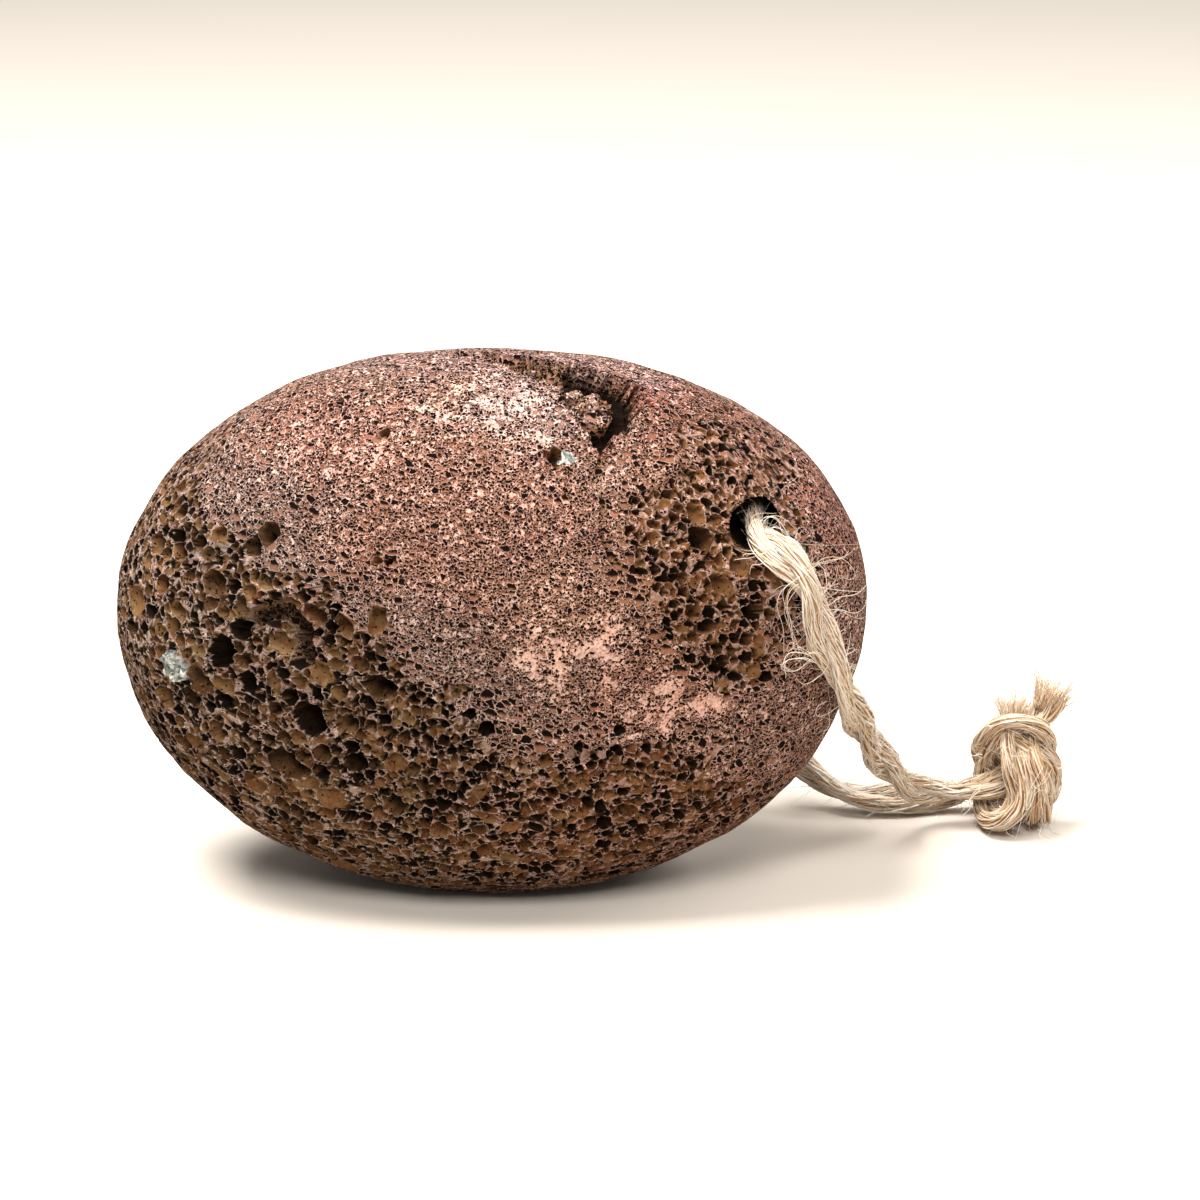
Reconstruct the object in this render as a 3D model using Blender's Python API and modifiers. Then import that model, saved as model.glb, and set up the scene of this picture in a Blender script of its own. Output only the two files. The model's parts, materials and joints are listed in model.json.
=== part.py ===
"""Lava pumice stone hung on a knotted loop of jute cord.

The stone stands on its long edge on z = 0, with its broad front face towards -Y and the
drilled hole near its right end. The cord runs out of both mouths of the hole and down to
the surface beside the stone, where a doubled overhand knot closes the loop.
"""
import math
import random

import bmesh
import bpy
from mathutils import Matrix, Vector

# Stone, in metres
HALF_LENGTH = 0.0498
HALF_THICKNESS = 0.0265
HALF_HEIGHT = 0.03765
SQUARENESS = 2.25  # 2 is an ellipsoid, more gives fuller broad faces
FOOT_WEAR = 0.0014  # worn off the underside, which leaves the flat that it stands on
STONE_CENTRE = Vector((0.0001, 0.0, HALF_HEIGHT - FOOT_WEAR))
# Where the outline departs from an oval: angle from +X towards +Z, spread, share of the radius
OUTLINE_SWELLS = (
    (30.0, 24.0, 0.022),  # full right shoulder
    (88.0, 26.0, -0.036),  # flattened top
    (160.0, 30.0, 0.015),  # full left shoulder
    (-18.0, 14.0, -0.016),  # straighter lower right
)
CAGE_CUTS = 14  # cuts across each side of the cube that is rounded into the stone

# Drilled hole, along Y
HOLE_X = 0.0342
HOLE_Z = 0.0540
HOLE_RADIUS = 0.00325

# Broken valley across the top: x, y and the radius of the groove
VALLEY = (
    (-0.0036, 0.0012, 0.0010),
    (0.0002, 0.0000, 0.0019),
    (0.0034, -0.0020, 0.0024),
    (0.0064, -0.0038, 0.0028),
    (0.0092, -0.0050, 0.0030),
    (0.0120, -0.0044, 0.0020),
)
# Cleft that runs down from the valley's end to a point on the front
CLEFT = (
    (0.0118, -0.0040, 0.0018),
    (0.0178, -0.0050, 0.0020),
    (0.0192, -0.0078, 0.0021),
    (0.0181, -0.0110, 0.0018),
    (0.0165, -0.0138, 0.0014),
    (0.0149, -0.0164, 0.0009),
)
# Hollow in which the loose-looking nodule sits, between the valley and the cleft
HOLLOW = (
    (0.0118, -0.0058, 0.0026),
    (0.0136, -0.0092, 0.0037),
    (0.0144, -0.0124, 0.0028),
    (0.0148, -0.0154, 0.0012),
)
NODULE_X = 0.0131
NODULE_Y = -0.0100
NODULE_RADIUS = 0.0036
NODULE_SUNK = 0.0006

# Large pores of the front face: x, z and radius
FRONT_PORES = (
    (-0.0427, 0.0455, 0.0013),
    (-0.0355, 0.0470, 0.0019),
    (-0.0405, 0.0420, 0.0013),
    (-0.0300, 0.0435, 0.0014),
    (-0.0267, 0.0450, 0.0013),
    (-0.0240, 0.0424, 0.0015),
    (-0.0238, 0.0382, 0.0015),
    (-0.0345, 0.0383, 0.0021),
    (-0.0429, 0.0300, 0.0018),
    (-0.0378, 0.0337, 0.0016),
    (-0.0232, 0.0302, 0.0023),
    (-0.0183, 0.0298, 0.0015),
    (-0.0218, 0.0254, 0.0015),
    (-0.0262, 0.0231, 0.0022),
    (-0.0330, 0.0240, 0.0014),
    (-0.0391, 0.0242, 0.0013),
    (-0.0309, 0.0190, 0.0014),
    (-0.0212, 0.0188, 0.0019),
    (-0.0140, 0.0352, 0.0018),
    (-0.0183, 0.0430, 0.0013),
    (-0.0293, 0.0533, 0.0018),
    (-0.0435, 0.0501, 0.0017),
    (-0.0398, 0.0510, 0.0014),
    (0.0072, 0.0250, 0.0013),
    (0.0085, 0.0640, 0.0016),
    (0.0275, 0.0528, 0.0013),
    (0.0310, 0.0472, 0.0013),
    (0.0340, 0.0440, 0.0013),
)
# Pores scattered over the rest: the left end is coarse, and the back has its own coarse areas
PORE_SEED = 7
PORE_TRIES = 900
PORE_LIMIT = 14
PORE_RADII = (0.0011, 0.0019)
PORE_SPACING = 0.0010
PORE_FOOT_CLEARANCE = 0.0055
COARSE_CENTRES = ((-0.75, -0.4, -0.25), (-0.8, 0.5, 0.1), (0.3, 0.9, -0.2), (-0.2, -0.6, -0.75))
COARSE_REACH = 0.62

# Jute cord, in metres
CORD_RADIUS = 0.0021
CORD_STEP = 0.0042
# The free loop, from the knot up to the hole's front mouth, through the stone and back
CORD_ROUTE = (
    (0.0640, 0.0172, 0.0050),
    (0.0614, 0.01705, 0.00505),
    (0.0587, 0.0158, 0.0058),
    (0.0562, 0.0132, 0.0078),
    (0.0541, 0.0101, 0.0108),
    (0.0522, 0.0062, 0.0144),
    (0.0507, 0.0016, 0.0179),
    (0.0492, -0.0032, 0.0215),
    (0.0485, -0.0076, 0.0246),
    (0.0476, -0.0113, 0.0274),
    (0.0463, -0.0145, 0.0309),
    (0.0448, -0.0170, 0.0349),
    (0.0434, -0.0188, 0.0391),
    (0.0422, -0.0199, 0.0432),
    (0.0409, -0.0205, 0.0469),
    (0.0392, -0.0200, 0.0499),
    (0.0372, -0.0182, 0.0521),
    (0.0355, -0.0152, 0.0534),
    (0.0346, -0.0113, 0.0539),
    (0.0343, -0.0060, 0.0540),
    (0.0342, 0.0010, 0.0540),
    (0.0343, 0.0080, 0.0539),
    (0.0345, 0.0130, 0.0536),
    (0.0348, 0.0174, 0.0524),
    (0.0352, 0.0209, 0.0502),
    (0.0355, 0.0234, 0.0469),
    (0.0356, 0.0252, 0.0428),
    (0.0357, 0.0263, 0.0380),
    (0.0359, 0.0270, 0.0320),
    (0.0361, 0.0274, 0.0260),
    (0.0366, 0.0275, 0.0205),
    (0.0375, 0.0272, 0.0154),
    (0.0391, 0.0265, 0.0110),
    (0.0415, 0.0253, 0.0076),
    (0.0445, 0.0239, 0.0050),
    (0.0482, 0.0226, 0.0031),
    (0.0525, 0.0218, 0.0023),
    (0.0578, 0.0219, 0.0023),
    (0.0640, 0.0226, 0.0028),
)

# Where the cord has worn the hole's mouths: stretches of its route, and the play around it
FRONT_WEAR = slice(14, 19)
BACK_WEAR = slice(21, 26)
WEAR_PLAY = 0.0004

# Knot: its middle, and the two strands tied side by side, from the loop's side to the loose ends
KNOT_CENTRE = Vector((0.0724, 0.0170, 0.0078))
KNOT_STRAND_RADIUS = 0.0019
KNOT_FRONT_STRAND = (
    (-0.0078, 0.0002, -0.0026),
    (-0.0048, 0.0002, -0.0021),
    (-0.0018, 0.0002, -0.0010),
    (0.0012, 0.0008, -0.0003),
    (0.0032, 0.0012, 0.0016),
    (0.0040, 0.0002, 0.0042),
    (0.0030, -0.0019, 0.0069),
    (0.0005, -0.0026, 0.0083),
    (-0.0024, -0.0023, 0.0077),
    (-0.0042, -0.0010, 0.0052),
    (-0.0048, 0.0020, 0.0026),
    (-0.0046, 0.0044, -0.0008),
    (-0.0044, 0.0044, -0.0040),
    (-0.0042, 0.0012, -0.0057),
    (-0.0036, -0.0026, -0.0057),
    (-0.0020, -0.0044, -0.0048),
    (-0.0005, -0.0048, -0.0026),
    (-0.0002, -0.0048, -0.0001),
    (-0.0007, -0.0043, 0.0030),
    (-0.0010, -0.0020, 0.0056),
    (-0.0008, 0.0006, 0.0080),
    (-0.0007, 0.0012, 0.0100),
)
KNOT_BACK_STRAND = (
    (-0.0078, 0.0057, -0.0046),
    (-0.0050, 0.0054, -0.0043),
    (-0.0018, 0.0030, -0.0041),
    (0.0014, 0.0008, -0.0038),
    (0.0033, -0.0004, -0.0032),
    (0.0040, -0.0010, -0.0008),
    (0.0040, -0.0020, 0.0014),
    (0.0030, -0.0030, 0.0036),
    (0.0012, -0.0026, 0.0052),
    (-0.0014, -0.0006, 0.0056),
    (-0.0034, 0.0018, 0.0044),
    (-0.0036, 0.0046, 0.0018),
    (-0.0020, 0.0060, -0.0018),
    (0.0006, 0.0050, -0.0048),
    (0.0022, 0.0016, -0.0057),
    (0.0026, -0.0024, -0.0056),
    (0.0029, -0.0043, -0.0027),
    (0.0028, -0.0044, 0.0006),
    (0.0018, -0.0040, 0.0032),
    (0.0014, -0.0014, 0.0054),
    (0.0026, 0.0012, 0.0072),
    (0.0040, 0.0020, 0.0092),
    (0.0049, 0.0023, 0.0116),
)
KNOT_CORE_RADII = (0.0036, 0.0040, 0.0050)
KNOT_VOXEL = 0.00055
KNOT_KEEP = 0.18  # share of the fused knot's triangles that is kept
SPLINE_SAMPLES = 6  # points read from the smooth curve for each route point

BORE_SIDES = 20
CUTTER_OVERRUN = 0.06


def clear_scene():
    """Start from nothing."""
    for item in list(bpy.data.objects):
        bpy.data.objects.remove(item, do_unlink=True)


def new_collection(name):
    """A collection in the scene."""
    group = bpy.data.collections.new(name)
    bpy.context.scene.collection.children.link(group)
    return group


def new_material(name, colour, roughness):
    """A plain Principled material."""
    material = bpy.data.materials.new(name)
    material.use_nodes = True
    shader = material.node_tree.nodes["Principled BSDF"]
    shader.inputs["Base Color"].default_value = (*colour, 1.0)
    shader.inputs["Roughness"].default_value = roughness
    shader.inputs["Metallic"].default_value = 0.0
    material.diffuse_color = (*colour, 1.0)
    return material


def add_object(name, mesh, group, location=(0.0, 0.0, 0.0)):
    """A new object in a collection."""
    item = bpy.data.objects.new(name, mesh)
    item.location = location
    group.objects.link(item)
    return item


def add_cutter(name, mesh, group):
    """An object that only shapes the stone."""
    item = add_object(name, mesh, group)
    item.hide_render = True
    item.display_type = "WIRE"
    return item


def skin_radius(direction):
    """Distance from the stone's middle to its skin along a unit direction."""
    x, y, z = direction
    outline = (x / HALF_LENGTH) ** 2 + (z / HALF_HEIGHT) ** 2
    thickness = abs(y / HALF_THICKNESS) ** SQUARENESS
    radius = (outline ** (SQUARENESS / 2) + thickness) ** (-1 / SQUARENESS)
    angle = math.degrees(math.atan2(z / HALF_HEIGHT, x / HALF_LENGTH))
    swell = 0.0
    for centre, spread, share in OUTLINE_SWELLS:
        turn = (angle - centre + 180.0) % 360.0 - 180.0
        swell += share * math.exp(-((turn / spread) ** 2))
    return radius * (1.0 + swell * (x * x + z * z))


def skin_along(start, direction):
    """The point where a line from inside the stone comes out through its skin."""
    near = 0.0
    far = 2.0 * HALF_LENGTH
    for _ in range(40):
        middle = 0.5 * (near + far)
        point = start + middle * direction
        if point.length < skin_radius(point.normalized()):
            near = middle
        else:
            far = middle
    return start + near * direction


def skin_normal(point):
    """The outward direction at a point of the skin, in the stone's own axes."""
    step = 1e-5
    slope = Vector()
    for axis in range(3):
        shift = Vector()
        shift[axis] = step
        ahead = point + shift
        behind = point - shift
        gap_ahead = ahead.length - skin_radius(ahead.normalized())
        gap_behind = behind.length - skin_radius(behind.normalized())
        slope[axis] = gap_ahead - gap_behind
    return slope.normalized()


def front_point(x, z):
    """The skin of the front face at x and z of the part."""
    start = Vector((x, 0.0, z)) - STONE_CENTRE
    return skin_along(start, Vector((0.0, -1.0, 0.0)))


def top_point(x, y):
    """The skin of the upper side at x and y of the part."""
    start = Vector((x, y, STONE_CENTRE.z)) - STONE_CENTRE
    return skin_along(start, Vector((0.0, 0.0, 1.0)))


def smooth_points(route, samples):
    """Points on a smooth curve through all the route's points."""
    knots = [Vector(point) for point in route]
    knots.insert(0, 2.0 * knots[0] - knots[1])
    knots.append(2.0 * knots[-1] - knots[-2])
    points = []
    for i in range(1, len(knots) - 2):
        before, start, end, after = knots[i - 1 : i + 3]
        for k in range(samples):
            t = k / samples
            pull = (2.0 * before - 5.0 * start + 4.0 * end - after) * t * t
            turn = (3.0 * start - before - 3.0 * end + after) * t * t * t
            points.append(0.5 * (2.0 * start + (end - before) * t + pull + turn))
    points.append(knots[-2])
    return points


def even_points(points, step):
    """The same line with its points at an even spacing close to step."""
    lengths = [(b - a).length for a, b in zip(points, points[1:])]
    total = sum(lengths)
    count = max(2, round(total / step))
    result = [points[0]]
    walked = 0.0
    index = 0
    for k in range(1, count):
        target = total * k / count
        while walked + lengths[index] < target:
            walked += lengths[index]
            index += 1
        share = (target - walked) / lengths[index]
        result.append(points[index].lerp(points[index + 1], share))
    result.append(points[-1])
    return result


def tube_curve(name, points, radius, scales=None):
    """A round tube along the points, with filled ends."""
    curve = bpy.data.curves.new(name, "CURVE")
    curve.dimensions = "3D"
    curve.bevel_depth = radius
    curve.bevel_resolution = 2
    curve.use_fill_caps = True
    spline = curve.splines.new("POLY")
    spline.points.add(len(points) - 1)
    for k, point in enumerate(points):
        spline.points[k].co = (*point, 1.0)
        spline.points[k].radius = scales[k] if scales else 1.0
    return curve


def tube_mesh(name, points, radius, scales=None):
    """The same tube as one closed mesh."""
    curve = tube_curve(name, points, radius, scales)
    holder = bpy.data.objects.new(name, curve)
    bpy.context.scene.collection.objects.link(holder)
    shown = holder.evaluated_get(bpy.context.evaluated_depsgraph_get())
    mesh = bpy.data.meshes.new_from_object(shown)
    bpy.data.objects.remove(holder, do_unlink=True)
    bpy.data.curves.remove(curve)
    shape = bmesh.new()
    shape.from_mesh(mesh)
    bmesh.ops.remove_doubles(shape, verts=shape.verts, dist=1e-6)
    bmesh.ops.recalc_face_normals(shape, faces=shape.faces)
    shape.to_mesh(mesh)
    shape.free()
    return mesh


def groove_mesh(name, route):
    """A tube that follows the stone's upper skin, as thick as each point says."""
    skin = [top_point(x, y) + STONE_CENTRE for x, y, _ in route]
    widest = max(radius for _, _, radius in route)
    scales = [radius / widest for _, _, radius in route]
    return tube_mesh(name, skin, widest, scales)


def stone_mesh():
    """The stone's worn, rounded body, from a cube divided and pressed out to its skin."""
    shape = bmesh.new()
    bmesh.ops.create_cube(shape, size=2.0)
    bmesh.ops.subdivide_edges(shape, edges=shape.edges, cuts=CAGE_CUTS, use_grid_fill=True)
    for vert in shape.verts:
        even = Vector(math.tan(0.25 * math.pi * side) for side in vert.co)
        direction = even.normalized()
        vert.co = direction * skin_radius(direction)
    bmesh.ops.recalc_face_normals(shape, faces=shape.faces)
    mesh = bpy.data.meshes.new("stone")
    shape.to_mesh(mesh)
    shape.free()
    return mesh


def is_clear(point, radius, placed):
    """Whether a pore keeps its distance from the others, the hole, the broken top and the foot."""
    world = point + STONE_CENTRE
    if world.z < PORE_FOOT_CLEARANCE:
        return False
    if math.hypot(world.x - HOLE_X, world.z - HOLE_Z) < HOLE_RADIUS + radius + PORE_SPACING:
        return False
    for x, y, groove in VALLEY + CLEFT + HOLLOW:
        if (top_point(x, y) - point).length < groove + radius + PORE_SPACING:
            return False
    for other, other_radius in placed:
        if (other - point).length < radius + other_radius + PORE_SPACING:
            return False
    return True


def scattered_pores(placed):
    """Seeded pores over the coarse areas, clear of those already placed."""
    dice = random.Random(PORE_SEED)
    coarse = [Vector(centre).normalized() for centre in COARSE_CENTRES]
    found = []
    for _ in range(PORE_TRIES):
        direction = Vector(dice.gauss(0.0, 1.0) for _ in range(3)).normalized()
        radius = dice.uniform(*PORE_RADII)
        nearness = min((direction - centre).length for centre in coarse)
        if nearness > COARSE_REACH or len(found) == PORE_LIMIT:
            continue
        point = direction * skin_radius(direction)
        if is_clear(point, radius, placed + found):
            found.append((point, radius))
    return found


def pore_mesh():
    """All the large pores as slightly flattened balls, sunk a little below the skin."""
    pores = [(front_point(x, z), radius) for x, z, radius in FRONT_PORES]
    pores += scattered_pores(pores)
    dice = random.Random(PORE_SEED)
    shape = bmesh.new()
    for point, radius in pores:
        normal = skin_normal(point)
        turn = normal.to_track_quat("Z", "Y").to_matrix().to_4x4()
        spin = Matrix.Rotation(dice.uniform(0.0, math.pi), 4, "Z")
        stretch = Matrix.Diagonal((1.12, 0.9, 1.0, 1.0))
        centre = point + STONE_CENTRE - normal * radius * 0.25
        place = Matrix.Translation(centre) @ turn @ spin @ stretch
        bmesh.ops.create_icosphere(shape, subdivisions=2, radius=radius, matrix=place)
    mesh = bpy.data.meshes.new("pore_cutter")
    shape.to_mesh(mesh)
    shape.free()
    return mesh


def nodule_mesh():
    """The knobbly lump between the valley and the cleft."""
    point = top_point(NODULE_X, NODULE_Y)
    normal = skin_normal(point)
    centre = point + STONE_CENTRE - normal * (NODULE_RADIUS + NODULE_SUNK)
    shape = bmesh.new()
    place = Matrix.Translation(centre)
    bmesh.ops.create_icosphere(shape, subdivisions=3, radius=NODULE_RADIUS, matrix=place)
    mesh = bpy.data.meshes.new("nodule")
    shape.to_mesh(mesh)
    shape.free()
    return mesh


def hole_mesh():
    """The drill that goes right through the stone along Y."""
    shape = bmesh.new()
    turn = Matrix.Rotation(math.pi / 2.0, 4, "X")
    place = Matrix.Translation((HOLE_X, 0.0, HOLE_Z)) @ turn
    bmesh.ops.create_cone(
        shape,
        cap_ends=True,
        segments=BORE_SIDES,
        radius1=HOLE_RADIUS,
        radius2=HOLE_RADIUS,
        depth=2.0 * CUTTER_OVERRUN,
        matrix=place,
    )
    mesh = bpy.data.meshes.new("drill")
    shape.to_mesh(mesh)
    shape.free()
    return mesh


def worn_mouth_mesh(name, stretch):
    """The groove that the cord has worn in the edge of a mouth of the hole."""
    points = even_points(smooth_points(CORD_ROUTE[stretch], SPLINE_SAMPLES), CORD_STEP)
    return tube_mesh(name, points, CORD_RADIUS + WEAR_PLAY)


def foot_mesh():
    """A block whose top is the plane that the stone stands on."""
    shape = bmesh.new()
    size = 4.0 * CUTTER_OVERRUN
    bmesh.ops.create_cube(shape, size=size, matrix=Matrix.Translation((0.0, 0.0, -0.5 * size)))
    mesh = bpy.data.meshes.new("foot_cutter")
    shape.to_mesh(mesh)
    shape.free()
    return mesh


def add_boolean(item, operand, operation):
    """Cut an object with another, or join them."""
    modifier = item.modifiers.new(operand.name, "BOOLEAN")
    modifier.operation = operation
    modifier.solver = "EXACT"
    modifier.object = operand


def build_stone(parts, cutters):
    """The stone, with its broken top, large pores, drilled hole and worn foot."""
    stone = add_object("stone", stone_mesh(), parts, STONE_CENTRE)
    steps = (
        (groove_mesh("hollow_cutter", HOLLOW), "DIFFERENCE"),
        (nodule_mesh(), "UNION"),
        (groove_mesh("valley_cutter", VALLEY), "DIFFERENCE"),
        (groove_mesh("cleft_cutter", CLEFT), "DIFFERENCE"),
        (pore_mesh(), "DIFFERENCE"),
        (hole_mesh(), "DIFFERENCE"),
        (worn_mouth_mesh("front_wear", FRONT_WEAR), "DIFFERENCE"),
        (worn_mouth_mesh("back_wear", BACK_WEAR), "DIFFERENCE"),
        (foot_mesh(), "DIFFERENCE"),
    )
    for mesh, operation in steps:
        add_boolean(stone, add_cutter(mesh.name, mesh, cutters), operation)
    stone.data.materials.append(new_material("pumice", (0.33, 0.19, 0.14), 0.95))
    return stone


def build_cord(parts, jute):
    """The free loop of cord, from one side of the knot to the other."""
    points = even_points(smooth_points(CORD_ROUTE, SPLINE_SAMPLES), CORD_STEP)
    cord = add_object("cord", tube_mesh("cord", points, CORD_RADIUS), parts)
    cord.data.materials.append(jute)
    cord.data.shade_smooth()
    return cord


def build_knot(parts, jute):
    """The doubled overhand knot, its turns fused, with the two loose ends."""
    shape = bmesh.new()
    for route in (KNOT_FRONT_STRAND, KNOT_BACK_STRAND):
        points = smooth_points(route, SPLINE_SAMPLES)
        strand = tube_mesh("knot_strand", points, KNOT_STRAND_RADIUS)
        shape.from_mesh(strand)
        bpy.data.meshes.remove(strand)
    core = Matrix.Diagonal((*KNOT_CORE_RADII, 1.0))
    bmesh.ops.create_icosphere(shape, subdivisions=3, radius=1.0, matrix=core)
    mesh = bpy.data.meshes.new("knot")
    shape.to_mesh(mesh)
    shape.free()
    knot = add_object("knot", mesh, parts, KNOT_CENTRE)
    fuse = knot.modifiers.new("fuse_turns", "REMESH")
    fuse.mode = "VOXEL"
    fuse.voxel_size = KNOT_VOXEL
    fuse.adaptivity = 0.0
    thin = knot.modifiers.new("fewer_faces", "DECIMATE")
    thin.decimate_type = "COLLAPSE"
    thin.ratio = KNOT_KEEP
    knot.data.materials.append(jute)
    return knot


def main():
    """Build the stone, the cord and the knot."""
    clear_scene()
    parts = new_collection("pumice_stone")
    cutters = new_collection("cutters")
    jute = new_material("jute", (0.55, 0.40, 0.24), 0.9)
    build_stone(parts, cutters)
    build_cord(parts, jute)
    build_knot(parts, jute)


main()
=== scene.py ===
"""The looks of a pumice foot stone that hangs on a knotted loop of jute twine.

Everything is in metres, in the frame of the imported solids: +X runs along the stone to its
drilled end, +Y from its broad front face to the back, and +Z up from the shelf it stands on.
"""
import json
import logging
import math
from dataclasses import dataclass, field
from enum import Enum
from itertools import product
from typing import Sequence

import bpy
import numpy as np
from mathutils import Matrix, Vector
from mathutils.kdtree import KDTree

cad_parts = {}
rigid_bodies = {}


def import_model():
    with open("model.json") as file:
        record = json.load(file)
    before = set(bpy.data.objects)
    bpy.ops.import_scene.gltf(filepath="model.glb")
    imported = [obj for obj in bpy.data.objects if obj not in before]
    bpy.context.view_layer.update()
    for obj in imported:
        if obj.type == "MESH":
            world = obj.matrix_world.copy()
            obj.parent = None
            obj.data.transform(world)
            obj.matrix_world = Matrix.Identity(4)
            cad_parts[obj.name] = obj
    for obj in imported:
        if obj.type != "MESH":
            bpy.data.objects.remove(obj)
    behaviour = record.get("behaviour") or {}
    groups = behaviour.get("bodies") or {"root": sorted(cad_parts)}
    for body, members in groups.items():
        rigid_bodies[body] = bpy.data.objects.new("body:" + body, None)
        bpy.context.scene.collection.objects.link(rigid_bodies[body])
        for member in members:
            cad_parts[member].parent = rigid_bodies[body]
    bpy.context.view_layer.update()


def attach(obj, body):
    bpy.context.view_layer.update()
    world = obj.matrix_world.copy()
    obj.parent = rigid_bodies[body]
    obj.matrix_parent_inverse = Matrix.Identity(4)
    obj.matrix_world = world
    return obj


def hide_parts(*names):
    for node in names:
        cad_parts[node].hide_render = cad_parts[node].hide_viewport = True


LOG = logging.getLogger("pumice")
BODY = "root"
MM = 0.001

Point = tuple[float, float, float]
Colour = tuple[float, float, float]

# The cord's free loop, from the knot up to the hole's front mouth, through the stone and back
CORD_ROUTE: tuple[Point, ...] = (
    (0.0640, 0.0172, 0.0050),
    (0.0614, 0.01705, 0.00505),
    (0.0587, 0.0158, 0.0058),
    (0.0562, 0.0132, 0.0078),
    (0.0541, 0.0101, 0.0108),
    (0.0522, 0.0062, 0.0144),
    (0.0507, 0.0016, 0.0179),
    (0.0492, -0.0032, 0.0215),
    (0.0485, -0.0076, 0.0246),
    (0.0476, -0.0113, 0.0274),
    (0.0463, -0.0145, 0.0309),
    (0.0448, -0.0170, 0.0349),
    (0.0434, -0.0188, 0.0391),
    (0.0422, -0.0199, 0.0432),
    (0.0411, -0.0207, 0.0466),
    (0.0396, -0.0205, 0.0491),
    (0.0374, -0.0190, 0.0510),
    (0.0356, -0.0158, 0.0521),
    (0.0346, -0.0115, 0.0527),
    (0.0342, -0.0060, 0.0532),
    (0.0342, 0.0010, 0.0537),
    (0.0343, 0.0080, 0.0539),
    (0.0345, 0.0130, 0.0536),
    (0.0348, 0.0174, 0.0524),
    (0.0352, 0.0209, 0.0502),
    (0.0355, 0.0234, 0.0469),
    (0.0356, 0.0252, 0.0428),
    (0.0357, 0.0263, 0.0380),
    (0.0359, 0.0270, 0.0320),
    (0.0361, 0.0274, 0.0260),
    (0.0366, 0.0275, 0.0205),
    (0.0375, 0.0272, 0.0154),
    (0.0391, 0.0265, 0.0110),
    (0.0415, 0.0253, 0.0076),
    (0.0445, 0.0239, 0.0050),
    (0.0482, 0.0226, 0.0031),
    (0.0525, 0.0218, 0.0023),
    (0.0578, 0.0219, 0.0023),
    (0.0640, 0.0226, 0.0028),
)
# The knot's two strands from the loop's side to the loose ends, about the knot's middle
KNOT_MIDDLE: Point = (0.0724, 0.0170, 0.0078)
KNOT_FRONT_STRAND: tuple[Point, ...] = (
    (-0.0078, 0.0002, -0.0026),
    (-0.0048, 0.0002, -0.0021),
    (-0.0018, 0.0002, -0.0010),
    (0.0012, 0.0008, -0.0003),
    (0.0032, 0.0012, 0.0016),
    (0.0040, 0.0002, 0.0042),
    (0.0030, -0.0019, 0.0069),
    (0.0005, -0.0026, 0.0083),
    (-0.0024, -0.0023, 0.0077),
    (-0.0042, -0.0010, 0.0052),
    (-0.0048, 0.0020, 0.0026),
    (-0.0046, 0.0044, -0.0008),
    (-0.0044, 0.0044, -0.0040),
    (-0.0042, 0.0012, -0.0057),
    (-0.0036, -0.0026, -0.0057),
    (-0.0020, -0.0044, -0.0048),
    (-0.0005, -0.0048, -0.0026),
    (-0.0002, -0.0048, -0.0001),
    (-0.0007, -0.0043, 0.0030),
    (-0.0010, -0.0020, 0.0056),
    (-0.0008, 0.0006, 0.0080),
    (-0.0007, 0.0012, 0.0100),
)
KNOT_BACK_STRAND: tuple[Point, ...] = (
    (-0.0078, 0.0057, -0.0046),
    (-0.0050, 0.0054, -0.0043),
    (-0.0018, 0.0030, -0.0041),
    (0.0014, 0.0008, -0.0038),
    (0.0033, -0.0004, -0.0032),
    (0.0040, -0.0010, -0.0008),
    (0.0040, -0.0020, 0.0014),
    (0.0030, -0.0030, 0.0036),
    (0.0012, -0.0026, 0.0052),
    (-0.0014, -0.0006, 0.0056),
    (-0.0034, 0.0018, 0.0044),
    (-0.0036, 0.0046, 0.0018),
    (-0.0020, 0.0060, -0.0018),
    (0.0006, 0.0050, -0.0048),
    (0.0022, 0.0016, -0.0057),
    (0.0026, -0.0024, -0.0056),
    (0.0029, -0.0043, -0.0027),
    (0.0028, -0.0044, 0.0006),
    (0.0018, -0.0040, 0.0032),
    (0.0014, -0.0014, 0.0054),
    (0.0026, 0.0012, 0.0072),
    (0.0040, 0.0020, 0.0092),
    (0.0049, 0.0023, 0.0116),
)

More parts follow.
